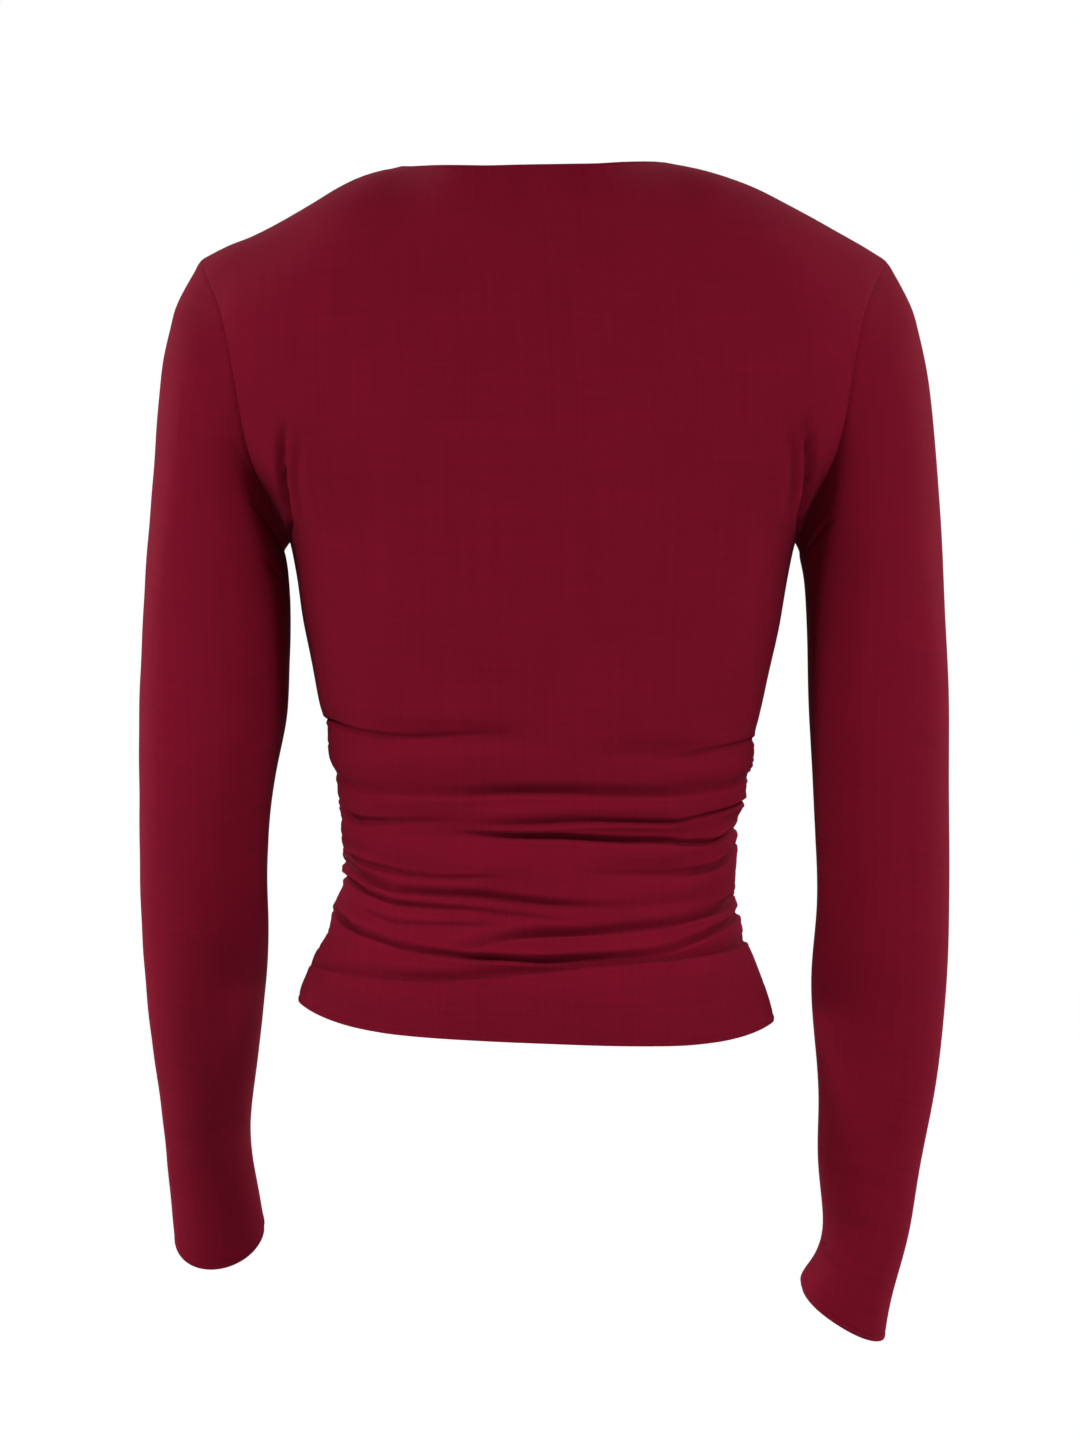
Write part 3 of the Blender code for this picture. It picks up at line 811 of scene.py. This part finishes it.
# %% Draw the soft folds
UNDERARM_FOLDS = panel_folds((
    (3.0, 4.0, ((-140, -144, 0), (-144, -153, 1.6), (-146, -167, 2.8), (-145, -183, 3.0),
                (-142, -198, 2.4), (-141, -208, 1.2))),
    (3.0, 4.0, ((136, -144, 0), (139, -153, 1.5), (140, -168, 2.5), (139, -184, 2.8),
                (137, -199, 2.2), (137, -208, 1.1))),
    (5.0, 4.0, ((-128, -140, 0), (-134, -152, 0.7), (-137, -168, 0.9), (-136, -186, 0.6), (-134, -200, 0))),
    (5.0, 4.0, ((124, -146, 0), (130, -158, 0.6), (132, -174, 0.8), (131, -190, 0.5), (129, -202, 0))),
))
CHEST_FOLDS = panel_folds((
    (4.0, 5.0, ((-138, -150, 0), (-139, -164, 1.3), (-137, -182, 1.8), (-136, -200, 1.3),
                (-137, -208, 0.6))),
    (4.0, 5.0, ((134, -148, 0), (136, -162, 1.2), (134, -180, 1.7), (132, -198, 1.4),
                (133, -208, 0.6))),
))
LEFT_ARM_FOLDS = (
    Fold(4.5, 4.0, ((20, -196, 0), (34, -184, 1.2), (50, -171, 1.6), (66, -160, 0.9), (82, -153, 0))),
    Fold(4.0, 4.0, ((14, -214, 0), (28, -206, 1.0), (46, -196, 1.2), (62, -188, 0.6), (78, -183, 0))),
    Fold(5.0, 5.0, ((12, -238, 0), (24, -230, 0.7), (42, -222, 0.8), (60, -216, 0))),
    Fold(4.5, 4.0, ((340, -196, 0), (322, -182, 1.1), (304, -170, 1.3), (288, -162, 0.7), (272, -156, 0))),
    Fold(3.0, 4.0, ((0, -352, 0), (14, -354, 0.6), (36, -358, 0.5), (58, -364, 0))),
    Fold(2.2, 3.0, ((2, -373, 0), (12, -374, 1.2), (30, -377, 1.1), (54, -382, 0.6), (80, -389, 0))),
    Fold(3.0, 4.0, ((356, -368, 0), (342, -370, 1.3), (318, -374, 1.4), (292, -380, 0.8), (268, -386, 0))),
    Fold(3.0, 4.0, ((354, -388, 0), (338, -391, 1.0), (316, -396, 1.0), (294, -402, 0))),
    Fold(4.0, 5.0, ((4, -402, 0), (22, -406, 0.6), (44, -412, 0.5), (62, -418, 0))),
    Fold(3.5, 4.5, ((18, -528, 0), (48, -532, 0.8), (88, -538, 0.9), (128, -541, 0.5), (160, -541, 0))),
    Fold(3.0, 4.0, ((342, -540, 0), (316, -545, 0.8), (282, -551, 0.9), (246, -555, 0.4), (220, -556, 0))),
    Fold(3.5, 4.5, ((60, -556, 0), (92, -560, 0.5), (126, -564, 0.5), (150, -566, 0))),
)
RIGHT_ARM_FOLDS = (
    Fold(4.0, 4.5, ((16, -198, 0), (32, -186, 1.0), (48, -174, 1.2), (64, -164, 0.6), (78, -158, 0))),
    Fold(4.5, 4.5, ((12, -218, 0), (26, -212, 0.9), (44, -204, 1.0), (62, -198, 0))),
    Fold(4.5, 4.0, ((342, -198, 0), (324, -184, 1.1), (306, -172, 1.3), (288, -163, 0.7), (272, -157, 0))),
    Fold(3.5, 4.5, ((348, -222, 0), (330, -214, 0.8), (310, -207, 0.8), (292, -202, 0))),
    Fold(2.4, 3.2, ((2, -371, 0), (12, -372, 1.1), (32, -376, 1.0), (56, -382, 0.5), (78, -388, 0))),
    Fold(3.0, 4.0, ((4, -392, 0), (16, -394, 0.8), (36, -398, 0.7), (58, -404, 0))),
    Fold(3.0, 4.0, ((356, -366, 0), (340, -369, 1.3), (316, -374, 1.4), (290, -381, 0.8), (266, -387, 0))),
    Fold(3.0, 4.0, ((354, -386, 0), (336, -390, 1.0), (314, -396, 0.9), (294, -401, 0))),
    Fold(4.0, 5.0, ((14, -548, 0), (40, -553, 0.7), (76, -560, 0.8), (112, -566, 0.4), (140, -568, 0))),
    Fold(1.8, 2.4, ((0, -597, 1.2), (10, -598, 2.3), (26, -602, 1.8), (46, -608, 0.9), (68, -614, 0))),
    Fold(2.2, 2.8, ((350, -597, 1.2), (338, -600, 1.6), (318, -605, 1.0), (296, -611, 0))),
    Fold(3.5, 4.5, ((20, -576, 0), (42, -580, 0.7), (70, -586, 0.7), (96, -590, 0))),
)

# %% [markdown]
# ## Puckers along the side seams
# Between the creases the gathered seam itself is puckered. On the wearer's right the puckers are
# small and close together, and on the left they are fewer and rounder. Front and back are sewn
# together there, so a pucker starts at the same height and depth on both, and only its length and
# its slope are each panel's own.

# %% Draw the puckers
Gathers = namedtuple("Gathers", "side top bottom spacing depth width")
GATHERS = (
    Gathers(LEFT, -310, -438, 8.0, 0.9, 1.5),
    Gathers(RIGHT, -318, -434, 3.7, 0.8, 1.1),
)
PUCKER_SEED = 5
PUCKER_LENGTHS = (8, 30)                  # mm
PUCKER_SLOPES = (-0.05, 0.35)
PUCKER_SHARES = (0, 0.3, 0.65, 1)         # where its points lie along its length


def pucker_starts(gathers, chance):
    """Height, depth and width, in mm, of each pucker down one side seam."""
    starts = []
    height = gathers.top
    while height > gathers.bottom:
        depth = gathers.depth * chance.uniform(0.35, 1.0)
        starts.append((height, depth, gathers.width * chance.uniform(0.75, 1.25)))
        height -= gathers.spacing * chance.uniform(0.6, 1.4)
    return starts


def pucker_lines(chart, side, starts, chance):
    """One panel's puckers, as curves on its flat pattern."""
    lines = []
    for height, depth, width in starts:
        across, up = to_flat(chart, side * SEAM * MM, height * MM)
        length = chance.uniform(*PUCKER_LENGTHS) * MM
        drop = length * chance.uniform(*PUCKER_SLOPES)
        inward = -math.copysign(1, across)
        points = [
            (across + inward * length * share, up - drop * share, depth * MM * (1 - share))
            for share in PUCKER_SHARES
        ]
        lines.append((smooth_line(points), width * MM, width * MM))
    return lines


chance = random.Random(PUCKER_SEED)
back_chart, front_chart = panel_chart(back_places), panel_chart(front_places)
back_lines = fold_lines(back_chart, BACK_FOLDS + UNDERARM_FOLDS)
front_lines = fold_lines(front_chart, FRONT_FOLDS + CHEST_FOLDS)
for gathers in GATHERS:
    starts = pucker_starts(gathers, chance)
    back_lines += pucker_lines(back_chart, gathers.side, starts, chance)
    front_lines += pucker_lines(front_chart, gathers.side, starts, chance)
    print("puckers on side", gathers.side, ":", len(starts))
left_lines = fold_lines(sleeve_chart(left_layout, LEFT), LEFT_ARM_FOLDS)
right_lines = fold_lines(sleeve_chart(right_layout, RIGHT), RIGHT_ARM_FOLDS)

# %% [markdown]
# ## Seams, turned edges and hem
# A sewn seam pulls the cloth in along its stitching, and the turnings inside lift it a little on both
# sides. The neck and the cuffs are finished with a narrow turned edge, which shows as a plump rim with
# a fine groove behind it. The hem is turned up 20 mm, and only a faint line tells where it ends.

# %% Measure the way to each seam and edge
RIM_STEPS = 9                             # points along each short piece of an edge


def points_along(mesh, edges, steps):
    """Close points along some edges, each given by its two ends."""
    start, end = points_of(mesh)[edges].transpose(1, 0, 2)
    share = np.linspace(0, 1, steps)[:, None, None]
    return (start + share * (end - start)).reshape(-1, 3)


def rim_line(piece, belongs, steps=RIM_STEPS):
    """Close points along the open edges whose ends belong to one seam or edge."""
    ends = edges_of(piece.data)
    chosen = open_edges(piece.data) & belongs[ends].all(axis=1)
    return points_along(piece.data, ends[chosen], steps)


def seam_line(piece):
    """Close points along a sleeve's own seam, where its two long edges are joined."""
    ends = edges_of(piece.data)
    chosen = (numbers_of(piece.data, "rim") > 1 - ON_LINE)[ends].all(axis=1)
    return points_along(piece.data, ends[chosen], RIM_STEPS)


def tree_of(points):
    """A search tree that finds the nearest of these points."""
    tree = KDTree(len(points))
    for index, point in enumerate(points):
        tree.insert(point, index)
    tree.balance()
    return tree


def way_to(places, line):
    """Distance from each place to the nearest point of a line."""
    tree = tree_of(line)
    return np.array([tree.find(place)[2] for place in places])


def panel_ways(piece, layout):
    """The way from every point of a panel to each of its seams and edges."""
    column, row = numbers_of(piece.data, "column"), numbers_of(piece.data, "row")
    at_side = (column < ON_LINE) | (column > layout.columns - ON_LINE)
    in_neck = np.abs(column - MIDDLE) < NECK_COLUMNS + ON_LINE
    at_top = row > layout.rows - ON_LINE
    parts = {
        "side": at_side & (row < underarm_row + ON_LINE),
        "armhole": at_side & (row > underarm_row - ON_LINE),
        "shoulder": at_top & (np.abs(column - MIDDLE) > NECK_COLUMNS - ON_LINE),
        "neck": in_neck & (row > neck_row - ON_LINE),
        "hem": row < ON_LINE,
    }
    places = points_of(piece.data)
    return {name: way_to(places, rim_line(piece, belongs)) for name, belongs in parts.items()}


def sleeve_ways(piece, layout):
    """The way from every point of a sleeve to its seams and its cuff's edge."""
    row = numbers_of(piece.data, "row")
    places = points_of(piece.data)
    return {
        "armhole": way_to(places, rim_line(piece, row > layout.rows - ON_LINE)),
        "cuff": way_to(places, rim_line(piece, row < ON_LINE)),
        "underarm": way_to(places, seam_line(piece)),
    }


back_ways, front_ways = panel_ways(back, back_layout), panel_ways(front, front_layout)
left_ways, right_ways = sleeve_ways(left_arm, left_layout), sleeve_ways(right_arm, right_layout)
for name, way in {**back_ways, **left_ways}.items():
    print("furthest from the", name, "in mm:", round(way.max() / MM))

# %% Press folds, seams and edges into the cloth
# Each row is a ridge or a groove: its way from the edge, its half width and its height, in mm.
SEAM_SHAPE = ((0, 1.3, -0.22), (3.2, 1.8, 0.07))
EDGE_SHAPES = {
    "side": SEAM_SHAPE,
    "armhole": SEAM_SHAPE,
    "shoulder": SEAM_SHAPE,
    "underarm": SEAM_SHAPE,
    "neck": ((0.9, 0.9, 0.22), (2.2, 0.6, -0.28)),
    "cuff": ((1.2, 1.0, 0.22), (2.8, 0.6, -0.28)),
    "hem": ((1.2, 1.0, 0.15), (2.8, 0.6, -0.22), (18.4, 1.4, 0.07), (20.4, 0.8, -0.16)),
}
FADE = 7 * MM                             # folds fade out this near a seam that isn't gathered
SEAM_BLEND = 3 * MM                       # both panels share one shape this near the side seam
DEEPER_INSIDE = 0.95                      # clear of the side seams, folds are deeper by this share
DEEPER_FROM = 10 * MM
PAINTED_SHADE_NAME = "painted_shade"
SHADE_FULL_DEPTH = 2.5 * MM                   # cloth this deep in a fold gets the full painted crease shade
FLARE = 60 * MM                           # painted shade on the hem's flare fades out this far above the hem
FLARE_SHADE_SHARE = 0.5
WAVE_HEIGHT = 0.22 * MM
WAVE_LENGTHS = (35, 90)                   # mm
WAVE_SEED = 3
WAVES = 7


def soft_step(value):
    value = np.clip(value, 0, 1)
    return value * value * (3 - 2 * value)


def edge_height(ways):
    """Height that seams and edges add to the cloth."""
    total = 0
    for name, way in ways.items():
        for at, width, height in EDGE_SHAPES[name]:
            total = total + height * MM * np.exp(-((way / MM - at) / width) ** 2)
    return total


def waves(flat, seed):
    """Slow shallow waves, so that plain cloth isn't perfectly even."""
    chance = random.Random(seed)
    total = np.zeros(len(flat))
    for _ in range(WAVES):
        length = chance.uniform(*WAVE_LENGTHS) * MM
        heading = chance.uniform(0, math.pi)
        along = flat @ np.array([math.cos(heading), math.sin(heading)])
        total += np.sin(along * 2 * math.pi / length + chance.uniform(0, 6))
    return total * WAVE_HEIGHT / math.sqrt(WAVES)


def seam_shapes(places, push, way):
    """How deep each side seam is pushed in, by height, for the left and the right seam."""
    shapes = {}
    for side in (LEFT, RIGHT):
        chosen = np.flatnonzero((way < SAME) & (places[:, 0] * side > 0))
        order = chosen[np.argsort(places[chosen, 2])]
        shapes[side] = places[order, 2], push[order]
    return shapes


def press(piece, push, ways, wave_seed, side_shapes=None):
    """Move a piece's points in by its folds, and in or out by its seams and edges."""
    mesh = piece.data
    places, normals = points_of(mesh), values_of(mesh.vertices, "normal", 3)
    clear = soft_step(ways["armhole"] / FADE)
    flare_shade = 0
    if side_shapes:
        # Painted shade on the hem's flare, darkest at the hem.
        flare_shade = FLARE_SHADE_SHARE * (1 - soft_step(ways["hem"] / FLARE))
        clear = clear * soft_step(ways["shoulder"] / FADE) * soft_step(ways["neck"] / FADE)
        shared = np.exp(-(ways["side"] / SEAM_BLEND) ** 2)
        left_depth, right_depth = (
            np.interp(places[:, 2], *side_shapes[side]) for side in (LEFT, RIGHT)
        )
        seam_depth = np.where(places[:, 0] > 0, left_depth, right_depth)
        push = push * (1 + DEEPER_INSIDE * soft_step(ways["side"] / DEEPER_FROM))
        push = push * (1 - shared) + seam_depth * shared
        calm = clear * soft_step(ways["side"] / FADE)
        normals[:, 1] *= 1 - shared
        normals /= np.linalg.norm(normals, axis=1)[:, None]
    else:
        clear = clear * soft_step(ways["underarm"] / FADE)
        calm = clear
    height = edge_height(ways) - push * clear + waves(flat_of(piece), wave_seed) * calm
    set_points(mesh, places + normals * height[:, None])
    # Painted shade, kept for the colour: dark deep in the folds and on the hem's flare.
    add_number(mesh, PAINTED_SHADE_NAME, np.clip(push * clear / SHADE_FULL_DEPTH + flare_shade, -0.2, 1))
    deepest, highest = round(-height.min() / MM, 2), round(height.max() / MM, 2)
    print(piece.name, "in mm: deepest", deepest, "highest", highest)


back_push = sink_all(flat_of(back), back_lines)
side_shapes = seam_shapes(points_of(back.data), back_push, back_ways["side"])
press(back, back_push, back_ways, WAVE_SEED, side_shapes)
press(front, sink_all(flat_of(front), front_lines), front_ways, WAVE_SEED + 1, side_shapes)
press(left_arm, sink_all(flat_of(left_arm), left_lines), left_ways, WAVE_SEED + 2)
press(right_arm, sink_all(flat_of(right_arm), right_lines), right_ways, WAVE_SEED + 3)

# %% Trim the line of the neck and shoulders
# Place across and rise, in mm. All four pieces move alike here, so the seams between them stay as
# they are, and the line against the white follows the picture's.
TOP_TRIM = (
    (-222, 0), (-185, 0.1), (-160, -0.6), (-139, 0), (-117, 1.0), (-92, 1.0), (-67, 1.2), (-50, 0),
    (-33, -0.4), (-17, 0.6), (0, 0.9), (17, 0.5), (33, -0.6), (50, -1.8), (67, -1.8), (80, -0.2),
    (90, 1.6), (102, 2.6), (114, 2.0), (128, 0), (144, -1.4), (160, -1.2), (178, 0.6), (222, 0),
)
TRIM_FROM, TRIM_OVER = -110 * MM, 60 * MM


def trim_top(piece):
    """Raise or lower the cloth near the top; the change fades out on the way down."""
    places = points_of(piece.data)
    across, rise = smooth_line(TOP_TRIM).T * MM
    share = soft_step((places[:, 2] - TRIM_FROM) / TRIM_OVER)
    places[:, 2] += share * np.interp(places[:, 0], across, rise)
    set_points(piece.data, places)


for piece in PIECES:
    trim_top(piece)

# %% [markdown]
# ## Drawing the seams together
# The CAD leaves 0.3 mm between two pieces, and the white room would shine through that gap. Stitching
# leaves no gap, so every sewn edge is drawn to the edge it is sewn to, in a few rounds. The cloth
# behind the edge follows for a few millimetres, so nothing is stretched sharply. At the end each edge
# laps its neighbour by a few hundredths of a millimetre.

# %% Draw sewn edges towards each other
SEAM_PULL = 2.0 * MM                      # the cloth follows its edge about this far
SEAM_ROUNDS = 5
SEAM_STEPS = 33                           # more points than RIM_STEPS, to find the nearest closely
SEAM_LAP = 0.03 * MM                      # sewn edges end up lapping by about twice this
PANEL_SEAMS = ("side", "armhole", "shoulder")


def sewn_edge(ways, names):
    """The points of a piece that lie on its sewn edges."""
    return np.flatnonzero(np.min([ways[name] for name in names], axis=0) < SAME)


SEWN = (
    (back, sewn_edge(back_ways, PANEL_SEAMS)),
    (front, sewn_edge(front_ways, PANEL_SEAMS)),
    (left_arm, sewn_edge(left_ways, ("armhole",))),
    (right_arm, sewn_edge(right_ways, ("armhole",))),
)


def close_seams():
    """Draw each sewn edge half of the way to its neighbour; return the widest gap there was."""
    lines = []
    for piece, edge in SEWN:
        on_edge = np.isin(np.arange(len(piece.data.vertices)), edge)
        lines.append(rim_line(piece, on_edge, SEAM_STEPS))
    moved = []
    widest = 0
    for own, (piece, edge) in enumerate(SEWN):
        others = np.vstack([line for other, line in enumerate(lines) if other != own])
        tree = tree_of(others)
        places = points_of(piece.data)
        nearest = np.array([tree.find(place)[1] for place in places[edge]])
        pulls = (others[nearest] - places[edge]) / 2
        widest = max(widest, 2 * np.linalg.norm(pulls, axis=1).max())
        own_tree = tree_of(places[edge])
        found = [own_tree.find(place) for place in places]
        leader = np.array([index for _, index, _ in found])
        way = np.array([distance for _, _, distance in found])
        follow = np.exp(-(way / SEAM_PULL) ** 2)
        moved.append(places + pulls[leader] * follow[:, None])
    for (piece, _), places in zip(SEWN, moved):
        set_points(piece.data, places)
    return widest


def lap_seams():
    """Carry each sewn edge a hair past its neighbour, so that no light comes through the seam."""
    for piece, edge in SEWN:
        places, ends = points_of(piece.data), edges_of(piece.data)
        on_edge = np.isin(ends, edge)
        outward = np.zeros_like(places)
        for end in (0, 1):
            leads_in = on_edge[:, end] & ~on_edge[:, 1 - end]
            rim, inner = ends[leads_in, end], ends[leads_in, 1 - end]
            np.add.at(outward, rim, places[rim] - places[inner])
        length = np.linalg.norm(outward, axis=1)
        moving = length > 0
        places[moving] += outward[moving] / length[moving, None] * SEAM_LAP
        set_points(piece.data, places)


for _ in range(SEAM_ROUNDS):
    print("widest gap in mm before this round:", round(close_seams() / MM, 2))
lap_seams()

# %% [markdown]
# ## The jersey
# The cloth is a fine, matt, plain knit. Close to, its face is rows of small V stitches in upright
# wales; from further off only a soft mottle shows, and a paler bloom where the surface turns away.
# One node group makes the stitches from the flat pattern's own coordinates, so they follow the cloth
# round the body. A second one makes the uneven tone of the yarn's dye, and paints shade into the
# colour deep in the creases and on the hem's flare. The bloom is the shader's sheen.

# %% Make the node groups
WALE, COURSE = 0.62 * MM, 0.50 * MM
STITCH_SLANT = 0.9
STITCH_DIP = 2.4                          # how far a stitch goes down at its two ends
PAINTED_SHADE_DARKER = 0.28                     # painted crease shade: cloth deep in a crease is darker by this share


def new_group(name, inputs, outputs):
    group = bpy.data.node_groups.new(name, "ShaderNodeTree")
    for label, kind, value in inputs:
        socket = group.interface.new_socket(label, in_out="INPUT", socket_type=kind)
        if value is not None:
            socket.default_value = value
    for label, kind in outputs:
        group.interface.new_socket(label, in_out="OUTPUT", socket_type=kind)
    ends = group.nodes.new("NodeGroupInput"), group.nodes.new("NodeGroupOutput")
    return group, ends[0], ends[1]


def math_node(tree, operation, *values):
    """A math node; each value is a number or a socket to read."""
    node = tree.nodes.new("ShaderNodeMath")
    node.operation = operation
    for slot, value in zip(node.inputs, values):
        if isinstance(value, bpy.types.NodeSocket):
            tree.links.new(value, slot)
        else:
            slot.default_value = value
    return node.outputs[0]


def make_stitches():
    """Height of a plain knit's V stitches over flat coordinates in metres."""
    group, start, end = new_group(
        "knit stitches",
        [("Flat", "NodeSocketVector", None), ("Wale", "NodeSocketFloat", WALE),
         ("Course", "NodeSocketFloat", COURSE)],
        [("Height", "NodeSocketFloat")],
    )
    parts = group.nodes.new("ShaderNodeSeparateXYZ")
    group.links.new(start.outputs["Flat"], parts.inputs[0])
    wale = math_node(group, "DIVIDE", parts.outputs["X"], start.outputs["Wale"])
    off_middle = math_node(group, "ABSOLUTE", math_node(
        group, "SUBTRACT", math_node(group, "FRACT", wale), 0.5))
    leg = math_node(group, "SUBTRACT", math_node(group, "MULTIPLY", off_middle, 4.0), 1.0)
    round_leg = math_node(group, "SUBTRACT", 1.0, math_node(group, "MULTIPLY", leg, leg))
    course = math_node(group, "DIVIDE", parts.outputs["Y"], start.outputs["Course"])
    slanted = math_node(group, "MULTIPLY_ADD", off_middle, STITCH_SLANT, course)
    along = math_node(group, "SUBTRACT", math_node(group, "FRACT", slanted), 0.5)
    dip = math_node(group, "MULTIPLY", math_node(group, "MULTIPLY", along, along), STITCH_DIP)
    height = math_node(group, "MULTIPLY", round_leg, math_node(group, "SUBTRACT", 1.0, dip))
    group.links.new(height, end.inputs["Height"])
    return group


def make_yarn_and_shade_tone():
    """A grey around 1: uneven dye in flecks, faint wales and courses, broad clouds, and painted shade."""
    group, start, end = new_group(
        "yarn and painted shade tone",
        [("Flat", "NodeSocketVector", None), ("Place", "NodeSocketVector", None),
         ("Painted shade", "NodeSocketFloat", 0.0), ("Fleck", "NodeSocketFloat", 0.45),
         ("Streak", "NodeSocketFloat", 0.32), ("Cloud", "NodeSocketFloat", 0.18)],
        [("Tone", "NodeSocketFloat")],
    )
    # Painted shade first: the colour is darker deep in creases and on the hem's flare.
    tone = math_node(group, "MULTIPLY_ADD", start.outputs["Painted shade"], -PAINTED_SHADE_DARKER, 1.0)
    layers = (
        ("Flat", (900, 1300, 1), "Fleck"),
        ("Flat", (420, 9, 1), "Streak"),
        ("Flat", (14, 560, 1), "Streak"),
        ("Place", (30, 30, 30), "Cloud"),
    )
    for source, scale, strength in layers:
        stretch = group.nodes.new("ShaderNodeMapping")
        stretch.inputs["Scale"].default_value = scale
        group.links.new(start.outputs[source], stretch.inputs["Vector"])
        noise = group.nodes.new("ShaderNodeTexNoise")
        noise.inputs["Scale"].default_value = 1.0
        noise.inputs["Detail"].default_value = 3.0
        group.links.new(stretch.outputs[0], noise.inputs["Vector"])
        swing = math_node(group, "SUBTRACT", noise.outputs[0], 0.5)
        tone = math_node(group, "MULTIPLY_ADD", swing, start.outputs[strength], tone)
    group.links.new(tone, end.inputs["Tone"])
    return group


knit_stitches = make_stitches()
yarn_and_shade_tone = make_yarn_and_shade_tone()

# %% Make the jersey material
Dye = namedtuple("Dye", "colour roughness specular sheen sheen_roughness sheen_tint")
WINE = Dye((0.165, 0.0033, 0.0158), 0.95, 0.06, 0.06, 0.5, (1.0, 0.12, 0.25))
STITCH_HEIGHT = 0.05 * MM
STITCH_STRENGTH = 0.6


def jersey(name, dye):
    material = bpy.data.materials.new(name)
    material.use_nodes = True
    tree = material.node_tree
    shader = tree.nodes["Principled BSDF"]
    shader.inputs["Roughness"].default_value = dye.roughness
    shader.inputs["Specular IOR Level"].default_value = dye.specular
    shader.inputs["Sheen Weight"].default_value = dye.sheen
    shader.inputs["Sheen Roughness"].default_value = dye.sheen_roughness
    shader.inputs["Sheen Tint"].default_value = (*dye.sheen_tint, 1)
    flat = tree.nodes.new("ShaderNodeUVMap")
    flat.uv_map = UV_NAME
    place = tree.nodes.new("ShaderNodeTexCoord")
    stitches = tree.nodes.new("ShaderNodeGroup")
    stitches.node_tree = knit_stitches
    tree.links.new(flat.outputs["UV"], stitches.inputs["Flat"])
    tone = tree.nodes.new("ShaderNodeGroup")
    tone.node_tree = yarn_and_shade_tone
    tree.links.new(flat.outputs["UV"], tone.inputs["Flat"])
    tree.links.new(place.outputs["Object"], tone.inputs["Place"])
    # Painted shade of the creases and the hem's flare, stored on the cloth.
    painted_shade = tree.nodes.new("ShaderNodeAttribute")
    painted_shade.attribute_name = PAINTED_SHADE_NAME
    tree.links.new(painted_shade.outputs["Fac"], tone.inputs["Painted shade"])
    dyed_and_shaded = tree.nodes.new("ShaderNodeVectorMath")
    dyed_and_shaded.operation = "SCALE"
    dyed_and_shaded.inputs[0].default_value = dye.colour
    tree.links.new(tone.outputs["Tone"], dyed_and_shaded.inputs["Scale"])
    tree.links.new(dyed_and_shaded.outputs[0], shader.inputs["Base Color"])
    bump = tree.nodes.new("ShaderNodeBump")
    bump.inputs["Strength"].default_value = STITCH_STRENGTH
    bump.inputs["Distance"].default_value = STITCH_HEIGHT
    tree.links.new(stitches.outputs["Height"], bump.inputs["Height"])
    tree.links.new(bump.outputs["Normal"], shader.inputs["Normal"])
    return material


wine_jersey = jersey("wine jersey", WINE)

# %% Finish the pieces
SHELL = 1.0 * MM
RIM_ROUND = 0.4 * MM
SEWN_ROUND = 0.5                          # a sewn rim is rounded less than an open one, by this factor


def give_wall(piece, sewn_line):
    """Give the cloth its thickness, inwards from the face that shows, and round its rims."""
    mesh = piece.data
    sewn = np.isin(edges_of(mesh), sewn_line).all(axis=1)
    rounded = open_edges(mesh) * np.where(sewn, SEWN_ROUND, 1)
    weight = mesh.attributes.new("bevel_weight_edge", "FLOAT", "EDGE")
    weight.data.foreach_set("value", rounded.astype(np.float32))
    wall = piece.modifiers.new("wall", "SOLIDIFY")
    wall.thickness = SHELL
    wall.offset = -1
    rim = piece.modifiers.new("rim", "BEVEL")
    rim.width = RIM_ROUND
    rim.segments = 2
    rim.limit_method = "WEIGHT"
    rim.use_clamp_overlap = False         # clamped, it left many faces of no area on the back
    select_only(piece)
    for modifier in (wall.name, rim.name):
        bpy.ops.object.modifier_apply(modifier=modifier)
    piece.data.shade_smooth()
    print(piece.name, "faces:", len(piece.data.polygons))


NODES = ("back_panel", "front_panel", "left_sleeve", "right_sleeve")
for node_name, (piece, sewn_line) in zip(NODES, SEWN):
    give_wall(piece, sewn_line)
    piece.data.materials.clear()
    piece.data.materials.append(wine_jersey)
    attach(piece, "root")
    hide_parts(node_name)
